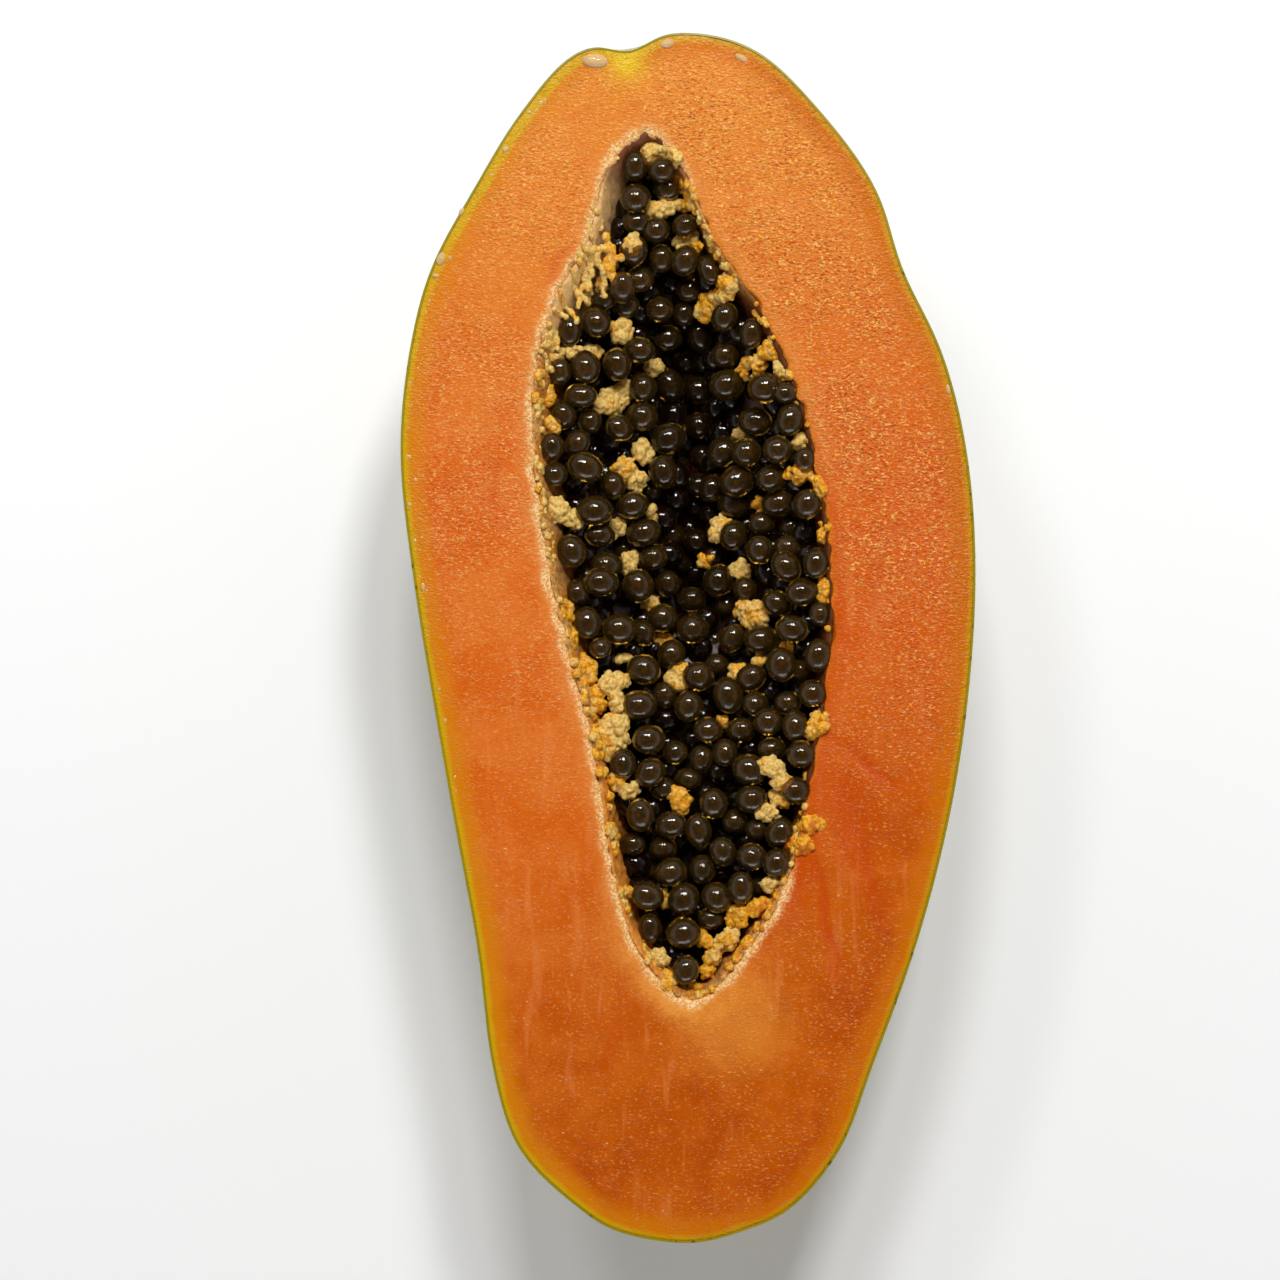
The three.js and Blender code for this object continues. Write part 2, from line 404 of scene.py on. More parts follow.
PALE_PATCH = (9.0, -72.5, 49.4)
tree, shader = new_material(flesh, "wet_flesh", 0.34, IOR=1.36, Specular_IOR_Level=0.32)
place = object_place(tree)
across, along, _ = axes_of(place)
edge = value_of(tree, "from_rind")
hollow = value_of(tree, "from_hollow")
blotch = cloud(place, 13, 3, 0.55, 0.4)
small_blotch = cloud(place, 4.2, 3, 0.55)
# Paler towards the stem end and darker towards the blossom end: painted light that falls off away
# from the lamps beyond the stem end.
to_stem = share_of(along, 20, 112, 0.0, 0.8)
to_blossom = share_of(plus(along, times(across, -0.6)), -10, -92, 0.0, 0.94)
body = paint_over(
    blend(share_of(blotch, 0.38, 0.62), (209, 95, 14), (216, 112, 38)),
    (share_of(across, 0, 45, 0.0, 0.7), (202, 84, 2)),
    (to_stem, (217, 134, 38)),
    (to_blossom, blend(share_of(blotch, 0.35, 0.62), (176, 72, 0), (190, 86, 0))),
    (share_of(small_blotch, 0.48, 0.75, 0.0, 0.5), (208, 100, 4)),
)

# Short wavy wrinkles, strongest towards the stem and on the right: a painted highlight on their
# crests and painted shade in their hollows, sparse painted glints as pale flecks, and streaks.
ripple_place = object_place(tree, (0.62, 1.05, 1.0), (0.5, 0.35, 0.18))
ripple = cloud(ripple_place, 0.95, 2.0, 0.55, 0.3)
worm = share_of(apart(ripple, 0.5), 0.050, 0.008)
worm = times(worm, share_of(cloud(ripple_place, 1.1, 1), 0.47, 0.60))
grit = cloud(ripple_place, 0.42, 1.5, 0.5, 0.3)
crest_highlight = plus(times(worm, share_of(along, -40, 20)), share_of(grit, 0.585, 0.70))
trough_shade = share_of(grit, 0.45, 0.30)
reach = times(
    share_of(cloud(place, 15, 1), 0.36, 0.58, 0.55, 1.0),
    share_of(along, -45, 30, 0.42, 1.0),
    share_of(across, -30, 20, 0.65, 1.0),
)
glint_fleck = times(share_of(from_dots(ripple_place, 2.4), 0.10, 0.04), share_of(grit, 0.44, 0.52))
streak_place = object_place(tree, (1.0, 0.16, 1.0))
streak = share_of(cloud(streak_place, 2.2, 2, 0.5, 0.3), 0.56, 0.74, 0.0, 0.30)
body = paint_over(
    body,
    (times(crest_highlight, reach, 0.75), (255, 190, 96)),
    (times(trough_shade, reach, 0.85), (170, 56, 0)),
    (times(glint_fleck, 0.6), (250, 196, 130)),
    (times(streak, share_of(along, 60, -40, 0.35, 1.0)), (226, 134, 70)),
)

# The paler zone round the hollow, the red smears, the ochre and yellow bands by the rind, and
# the cream that clings along the edge of the hollow.
near_hollow = share_of(plus(hollow, times(small_blotch, -3.0)), 3.0, -0.8, 0.0, 0.55)
right_low = times(share_of(across, -2, 5), share_of(along, 45, 20))
at_right_edge = times(right_low, share_of(hollow, 4.0, 0.0, 0.0, 0.7))
below_tip = times(share_of(along, -64, -69), share_of(across, 17, 9))
at_tip = times(
    share_of(along, -46, -60),
    share_of(hollow, 7.0, 0.6),
    plus(share_of(across, 6, -4, 0.12, 1.0), below_tip),
    share_of(plus(small_blotch, grit), 0.75, 1.25, 0.30, 0.70),
)
from_patch = add_node(tree, "ShaderNodeVectorMath", {0: place, 1: PALE_PATCH}, operation="DISTANCE")
patchy = plus(from_patch.outputs["Value"], times(small_blotch, -8.0))
left_share = share_of(across, 20, -30)
ochre = share_of(plus(edge, times(blotch, -2.0)), 5.0, 0.4, 0.0, 0.90)
at_left_stem = times(share_of(along, 50, 90), left_share)
yellow = share_of(plus(edge, times(plus(small_blotch, at_left_stem), -1.0)), 1.0, -0.1)
fuzz = cloud(place, 0.45, 3, 0.6)
on_right = times(share_of(across, -2, 5), share_of(apart(along, 26), 74, 66))
ragged = plus(hollow, times(plus(small_blotch, fuzz), -1.4))
cream_edge = share_of(plus(ragged, times(on_right, 0.9)), 0.5, -1.3)
cream = blend(share_of(fuzz, 0.4, 0.62), (216, 150, 76), (246, 212, 154))
body = paint_over(
    body,
    (times(near_hollow, share_of(right_low, 0, 1, 1.0, 0.1)), (220, 134, 56)),
    (at_right_edge, (198, 78, 0)),
    (at_tip, (228, 146, 58)),
    (share_of(patchy, 11, -1, 0.0, 0.50), (234, 150, 54)),
    (times(value_of(tree, "smeared"), 0.7), (194, 62, 0)),
    (ochre, blend(left_share, (200, 104, 2), (208, 124, 6))),
    (yellow, blend(left_share, (196, 134, 6), (202, 156, 8))),
    (times(value_of(tree, "yellowed"), 0.9), (222, 186, 22)),
    (cream_edge, blend(on_right, cream, (222, 128, 24))),
)
wrinkles = plus(times(plus(grit, times(worm, 0.35)), reach), times(glint_fleck, 0.3))
wetness = share_of(small_blotch, 0.3, 0.7, 0.24, 0.40)
wrinkled = bump(wrinkles, 0.9, 0.40 * MM)
set_inputs(shader, {"Base Color": body, "Normal": wrinkled, "Roughness": wetness})
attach(flesh, "root")
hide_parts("flesh")


# --- Rind ---
# The thin waxy skin, green and yellow in patches, with dark specks. It is grown onto the flesh.
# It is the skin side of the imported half, given its thickness inwards.
SKIN_WAVE = 0.12 * MM
rind = copy_of_node("flesh", "papaya_rind")
choose_faces(rind, lambda centre, normal: not is_skin(centre, normal))
bpy.ops.mesh.delete(type="FACE")
round_off(rind, 2)
for corner in rind.data.vertices:
    wave = waves(corner.co, 16) + 0.35 * waves(corner.co, 4)
    outward = Vector((corner.co.x, corner.co.y * 0.3, corner.co.z - cut_height)).normalized()
    from_cut = min(1.0, (cut_height - corner.co.z) / (6 * MM))
    if corner.co.z > 0.05 * MM:
        corner.co += outward * wave * SKIN_WAVE * from_cut
wall = rind.modifiers.new("thickness", "SOLIDIFY")
wall.thickness = RIND_THICKNESS
wall.offset = -1
wall.use_even_offset = True
wall.material_offset_rim = 1
wall.material_offset = 1
apply_modifiers(rind)
bpy.ops.object.shade_smooth_by_angle(angle=math.radians(50))
SKIN_STRETCH = (1.0, 0.45, 1.0)


def build_skin_patches():
    """A shader group: how yellow the skin is at a place, between two levels of one pattern."""
    group = bpy.data.node_groups.new("skin_patches", "ShaderNodeTree")
    for name, way in (("Low", "INPUT"), ("High", "INPUT"), ("Share", "OUTPUT")):
        group.interface.new_socket(name, in_out=way, socket_type="NodeSocketFloat")
    levels = group.nodes.new("NodeGroupInput").outputs
    pattern = cloud(object_place(group, SKIN_STRETCH), 30, 3, 0.5, 0.6)
    share = share_of(pattern, levels["Low"], levels["High"])
    set_inputs(group.nodes.new("NodeGroupOutput"), {"Share": share})
    return group


skin_patches = build_skin_patches()


def patch_share(tree, low, high):
    """The share of yellow in the skin's patches, between two levels."""
    inputs = {"Low": low, "High": high}
    return add_node(tree, "ShaderNodeGroup", inputs, node_tree=skin_patches).outputs["Share"]


tree, shader = new_material(rind, "waxy_skin", 0.33, Coat_Weight=0.2, Coat_Roughness=0.3)
place = object_place(tree)
patch_fine = cloud(object_place(tree, SKIN_STRETCH), 6, 3)
mottle = cloud(place, 1.8, 3, 0.6)
cut_level = cut_height / MM
skin = paint_over(
    blend(patch_share(tree, 0.34, 0.52), (74, 84, 6), (112, 110, 4)),
    (patch_share(tree, 0.50, 0.62), (164, 126, 6)),
    (share_of(patch_fine, 0.35, 0.7, 0.0, 0.5), (98, 100, 6)),
    (share_of(mottle, 0.40, 0.66, 0.0, 0.28), (146, 132, 20)),
    (share_of(axes_of(place)["Z"], cut_level - 3.0, cut_level - 0.6, 0.0, 0.8), (152, 140, 10)),
)

# Dark green specks of two sizes, crowded in some places and rare in others.
for spacing, low, high, where in ((3.6, 0.21, 0.35, 21.0), (1.9, 0.25, 0.37, 9.0)):
    speck_place = object_place(tree, (1.0, 0.8, 1.0), (0.4, 0.2 + spacing, 0.3))
    wobble = plus(from_dots(speck_place, spacing), times(cloud(place, 0.7, 1), 0.22))
    crowd = share_of(cloud(place, where, 2), 0.46, 0.60)
    speck = times(share_of(wobble, high, low), crowd, 0.78)
    skin = blend(speck, skin, (46, 60, 10))
set_inputs(shader, {"Base Color": skin, "Normal": bump(cloud(place, 0.9, 2), 0.12, 0.2 * MM)})

tree, shader = new_material(rind, "rind_edge", 0.4)
edge_colour = blend(patch_share(tree, 0.38, 0.6), (170, 140, 12), (212, 164, 22))
set_inputs(shader, {"Base Color": edge_colour})
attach(rind, "root")


# --- Cavity lining ---
# A thin spongy cream skin on the wall of the cavity, which the seeds grew from. It stands a
# little way into the cavity, and torn crumbs of it cling along the edge of the hollow.
LINING_THICKNESS = 0.45 * MM
LINING_REACH = 16 * MM
SPONGINESS, SWELLING = 0.42, 0.35
lining = copy_of_node("flesh", "papaya_lining")
lining_foot = cut_height - LINING_REACH
choose_faces(lining, lambda centre, normal: not is_hollow(centre, normal) or centre.z < lining_foot)
bpy.ops.mesh.delete(type="FACE")
round_off(lining, 3)
wall = lining.modifiers.new("thickness", "SOLIDIFY")
wall.thickness = LINING_THICKNESS
wall.offset = 1
apply_modifiers(lining)
for corner in lining.data.vertices:
    sponge = waves(corner.co, 1.6) + 0.6 * waves(corner.co, 0.7)
    swell = waves(corner.co, 6, (3, 7, 1))
    inward = Vector((-corner.co.x, 0, 8 * MM)).normalized()
    from_top = (cut_height - corner.co.z) / MM
    lift = (SPONGINESS * sponge + SWELLING * swell) * min(1.0, from_top / 1.5)
    corner.co += inward * MM * lift
    corner.co.z -= (0.75 + 0.6 * sponge) * MM * math.exp(-from_top)
bpy.ops.object.shade_smooth()
tree, shader = new_material(lining, "cream_lining", 0.6, Specular_IOR_Level=0.2)
place = object_place(tree)
across, along, up = axes_of(place)
mottle = share_of(cloud(place, 5, 3), 0.4, 0.65)
strand = cloud(object_place(tree, (1.0, 1.0, 0.22), (0, 0, 0.4)), 1.0, 3, 0.6, 0.4)
# The upper left of the wall is partly its own cream and partly painted light, paler where it faces
# away from the lamps.
at_top = times(share_of(along, 54, 64), share_of(across, -3, -8), 0.65)
# The dark strip along the right edge of the hollow is painted shade in the gap beside the seeds.
on_right = times(share_of(across, -2, 5), share_of(along, -44, -30), share_of(along, 75, 60))
low_left = times(share_of(along, -15, -30), share_of(across, -2, -6), 0.7)
pale = paint_over(
    blend(mottle, (200, 146, 76), (206, 132, 44)),
    (share_of(cloud(place, 0.9, 3, 0.6), 0.52, 0.34, 0.0, 0.75), (150, 84, 26)),
    (share_of(strand, 0.50, 0.36, 0.0, 0.6), (132, 78, 28)),
    (share_of(cloud(place, 1.3, 3, 0.6), 0.55, 0.68, 0.0, 0.8), (232, 186, 118)),
    (share_of(up, cut_level - 1.0, cut_level - 9, 0.0, 0.8), (108, 58, 18)),
    (at_top, (242, 200, 136)),
    # The dark top end of the hollow is painted shade.
    (share_of(along, 83, 92, 0.0, 0.9), (104, 36, 10)),
    (times(on_right, 0.92), (80, 28, 2)),
    (low_left, (222, 136, 44)),
)
set_inputs(shader, {"Base Color": pale, "Normal": bump(cloud(place, 0.5, 3, 0.6), 0.5, 0.4 * MM)})
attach(lining, "root")

# Crumbs along the edge: from x, to x, from y, to y, crumbs per square mm, size, share of yellow.
CRUMBLY_PLACES = [
    (-40, 0, 58, 92, 0.05, 0.7, 0.2), (-40, 0, 30, 58, 0.40, 1, 0.4),
    (-40, 0, -4, 30, 0.32, 0.9, 0.3), (-40, 0, -42, -4, 0.75, 1.2, 0.75),
    (-40, 2, -66, -42, 0.50, 0.9, 0.5), (0, 40, 66, 92, 0.50, 1, 0.45),
    (0, 40, 44, 66, 0.40, 1, 0.6), (0, 40, -20, 44, 0.16, 0.8, 0.9),
    (0, 40, -48, -20, 0.30, 0.9, 0.7), (-2, 40, -72, -48, 0.45, 1, 1),
]
CRUMB_REACH = 4.0 * MM
DENSEST = 1.6
CRUMB_GRAIN = 0.26 * MM
crumb_random = random.Random(5)


def crumbs_at(point):
    """How many crumbs per square mm, how large and how yellow they are at a place on the wall."""
    for x0, x1, y0, y1, share, size, yellow_share in CRUMBLY_PLACES:
        if x0 <= point.x / MM < x1 and y0 <= point.y / MM < y1:
            patchy = 0.5 + 1.6 * waves(point, 5, (9, 2, 4))
            return max(0.0, share * patchy * 2), size, yellow_share
    return 0.0, 1.0, 0.0


def strew(name, model, spots):
    """Joins copies of a small model: one for each centre, size, turn and shade, which it stores."""
    corners = np.array([v.co for v in model.data.vertices])
    faces = [tuple(p.vertices) for p in model.data.polygons]
    all_corners, all_faces, shades = [], [], []
    for centre, size, turn, shade in spots:
        first = len(all_corners) * len(corners)
        all_corners.append(corners * np.array(size) @ np.array(turn.transposed()) + np.array(centre))
        all_faces += [tuple(first + i for i in face) for face in faces]
        shades += [shade] * len(corners)
    mesh = bpy.data.meshes.new(name)
    mesh.from_pydata(np.concatenate(all_corners).tolist(), [], all_faces)
    piece = add_piece(name, mesh)
    bpy.data.objects.remove(model)
    mesh.polygons.foreach_set("use_smooth", [True] * len(mesh.polygons))
    write_values(piece, "deep", shades)
    return piece


def melt(name, lumps, grain):
    """Joins balls at the lumps' places into one piece and melts them together."""
    bpy.ops.mesh.primitive_ico_sphere_add(subdivisions=2, radius=1, location=(0, 0, 0))
    spots = [(centre, (radius,) * 3, Matrix.Identity(3), 0.0) for centre, radius in lumps]
    piece = strew(name, bpy.context.object, spots)
    remesh = piece.modifiers.new("melt", "REMESH")
    remesh.mode = "VOXEL"
    remesh.voxel_size = grain
    apply_modifiers(piece)
    return piece


def crumble(piece, lumps, lump_yellows, strength):
    """Roughens a melted piece and stores how yellow each lump of it is."""
    lump_tree = nearness_tree([centre for centre, _ in lumps])
    normals = [v.normal.copy() for v in piece.data.vertices]
    yellows = []
    for corner, normal in zip(piece.data.vertices, normals):
        yellows.append(lump_yellows[lump_tree.find(corner.co)[1]])
        rough = abs(waves(corner.co, 1.9)) * 1.5 + waves(corner.co, 0.8) * 0.6
        rough += waves(corner.co, 0.42) * 0.5
        corner.co += normal * rough * strength
    write_values(piece, "yellow", yellows)
    piece.data.polygons.foreach_set("use_smooth", [True] * len(piece.data.polygons))


crumbs, crumb_yellows = [], []
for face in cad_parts["flesh"].data.polygons:
    if not is_hollow(face.center, face.normal):
        continue
    corners = [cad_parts["flesh"].data.vertices[i].co for i in face.vertices]
    tries = face.area / MM**2 * DENSEST
    for _ in range(int(tries) + (crumb_random.random() < tries % 1)):
        weights = [crumb_random.random() for _ in corners]
        spot = sum((c * w for c, w in zip(corners, weights)), Vector()) / sum(weights)
        share, size, yellow_share = crumbs_at(spot)
        reach = CRUMB_REACH * size
        fade = max(0.0, 1 - (cut_height - spot.z) / reach)
        if crumb_random.random() < share / DENSEST * min(1.0, fade * 2.5):
            radius = crumb_random.uniform(0.30, 0.80) * size * MM
            spot.z = min(spot.z, cut_height - 0.35 * MM)
            crumbs.append((spot + face.normal * radius * 0.55, radius))
            crumb_yellows.append(yellow_share + crumb_random.gauss(0, 0.25))
lining_crumbs = melt("lining_crumbs", crumbs, CRUMB_GRAIN)
crumble(lining_crumbs, crumbs, crumb_yellows, 0.26 * MM)

tree, shader = new_material(
    lining_crumbs, "crumbly_tissue", 0.42, IOR=1.38, Subsurface_Weight=0.25,
    Subsurface_Radius=(0.8, 0.6, 0.3), Subsurface_Scale=1.2 * MM,
)
place = object_place(tree)
crumb = cloud(place, 0.6, 4, 0.65)
tone = plus(value_of(tree, "yellow"), share_of(cloud(place, 2.2, 2), 0.3, 0.7, -0.35, 0.35))
cream = blend(share_of(crumb, 0.36, 0.60), (204, 154, 66), (238, 206, 122))
amber = blend(share_of(crumb, 0.36, 0.62), (206, 118, 8), (244, 186, 42))
bit_colour = blend(share_of(tone, 0.25, 0.85), cream, amber)
bit_colour = blend(share_of(tone, 1.15, 1.55, 0.0, 0.9), bit_colour, (206, 108, 10))
set_inputs(shader, {"Base Color": bit_colour, "Normal": bump(crumb, 0.8, 0.45 * MM)})
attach(lining_crumbs, "root")


# --- Dark middle of the heap ---
# Deep between the seeds lie wet pulp and more seeds. The pulp is near black, partly its own dark
# colour and partly painted shade for the gaps down there. It is a copy of the imported heap, shrunk
# so that loose seeds lie all over it.
HEAP_CORE_DEPTH = 5.0 * MM
TRENCH_DEPTH = 7.0 * MM
TRENCH_HALF_WIDTH = 5.5
TRENCH_FROM, TRENCH_TO = 0, 70
CORE_SCALE, CORE_MIDDLE = (0.86, 0.95, 0.8), (0.0008, 0.01, 0.024)


def in_trench(x, y):
    """How far into the deep dark trench along the heap's middle a place lies, from 0 to 1."""
    ends = min(1.0, max(0.0, (y / MM - TRENCH_FROM) / 12), max(0.0, (TRENCH_TO - y / MM) / 12))
    middle = 1.0 - 0.035 * (y / MM - 30)
    return ends * math.exp(-(((x / MM - middle) / TRENCH_HALF_WIDTH) ** 2))


core = copy_of_node("seed_heap", "seed_heap_core")
bpy.ops.mesh.select_all(action="SELECT")
bpy.ops.transform.translate(value=(0, 0, -HEAP_CORE_DEPTH))
bpy.ops.transform.resize(value=CORE_SCALE, center_override=CORE_MIDDLE)
round_off(core, 1)
for corner in core.data.vertices:
    top_share = min(1.0, max(0.0, (corner.co.z - 22 * MM) / (8 * MM)))
    corner.co.z -= TRENCH_DEPTH * in_trench(corner.co.x, corner.co.y) * top_share
bpy.ops.object.shade_smooth()
tree, shader = new_material(core, "pulp_and_painted_shade", 0.3)
# The near-black pulp colour is partly painted shade.
set_inputs(shader, {"Base Color": blend(cloud(object_place(tree), 3), (20, 8, 3), (66, 24, 6))})
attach(core, "root")
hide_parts("seed_heap")


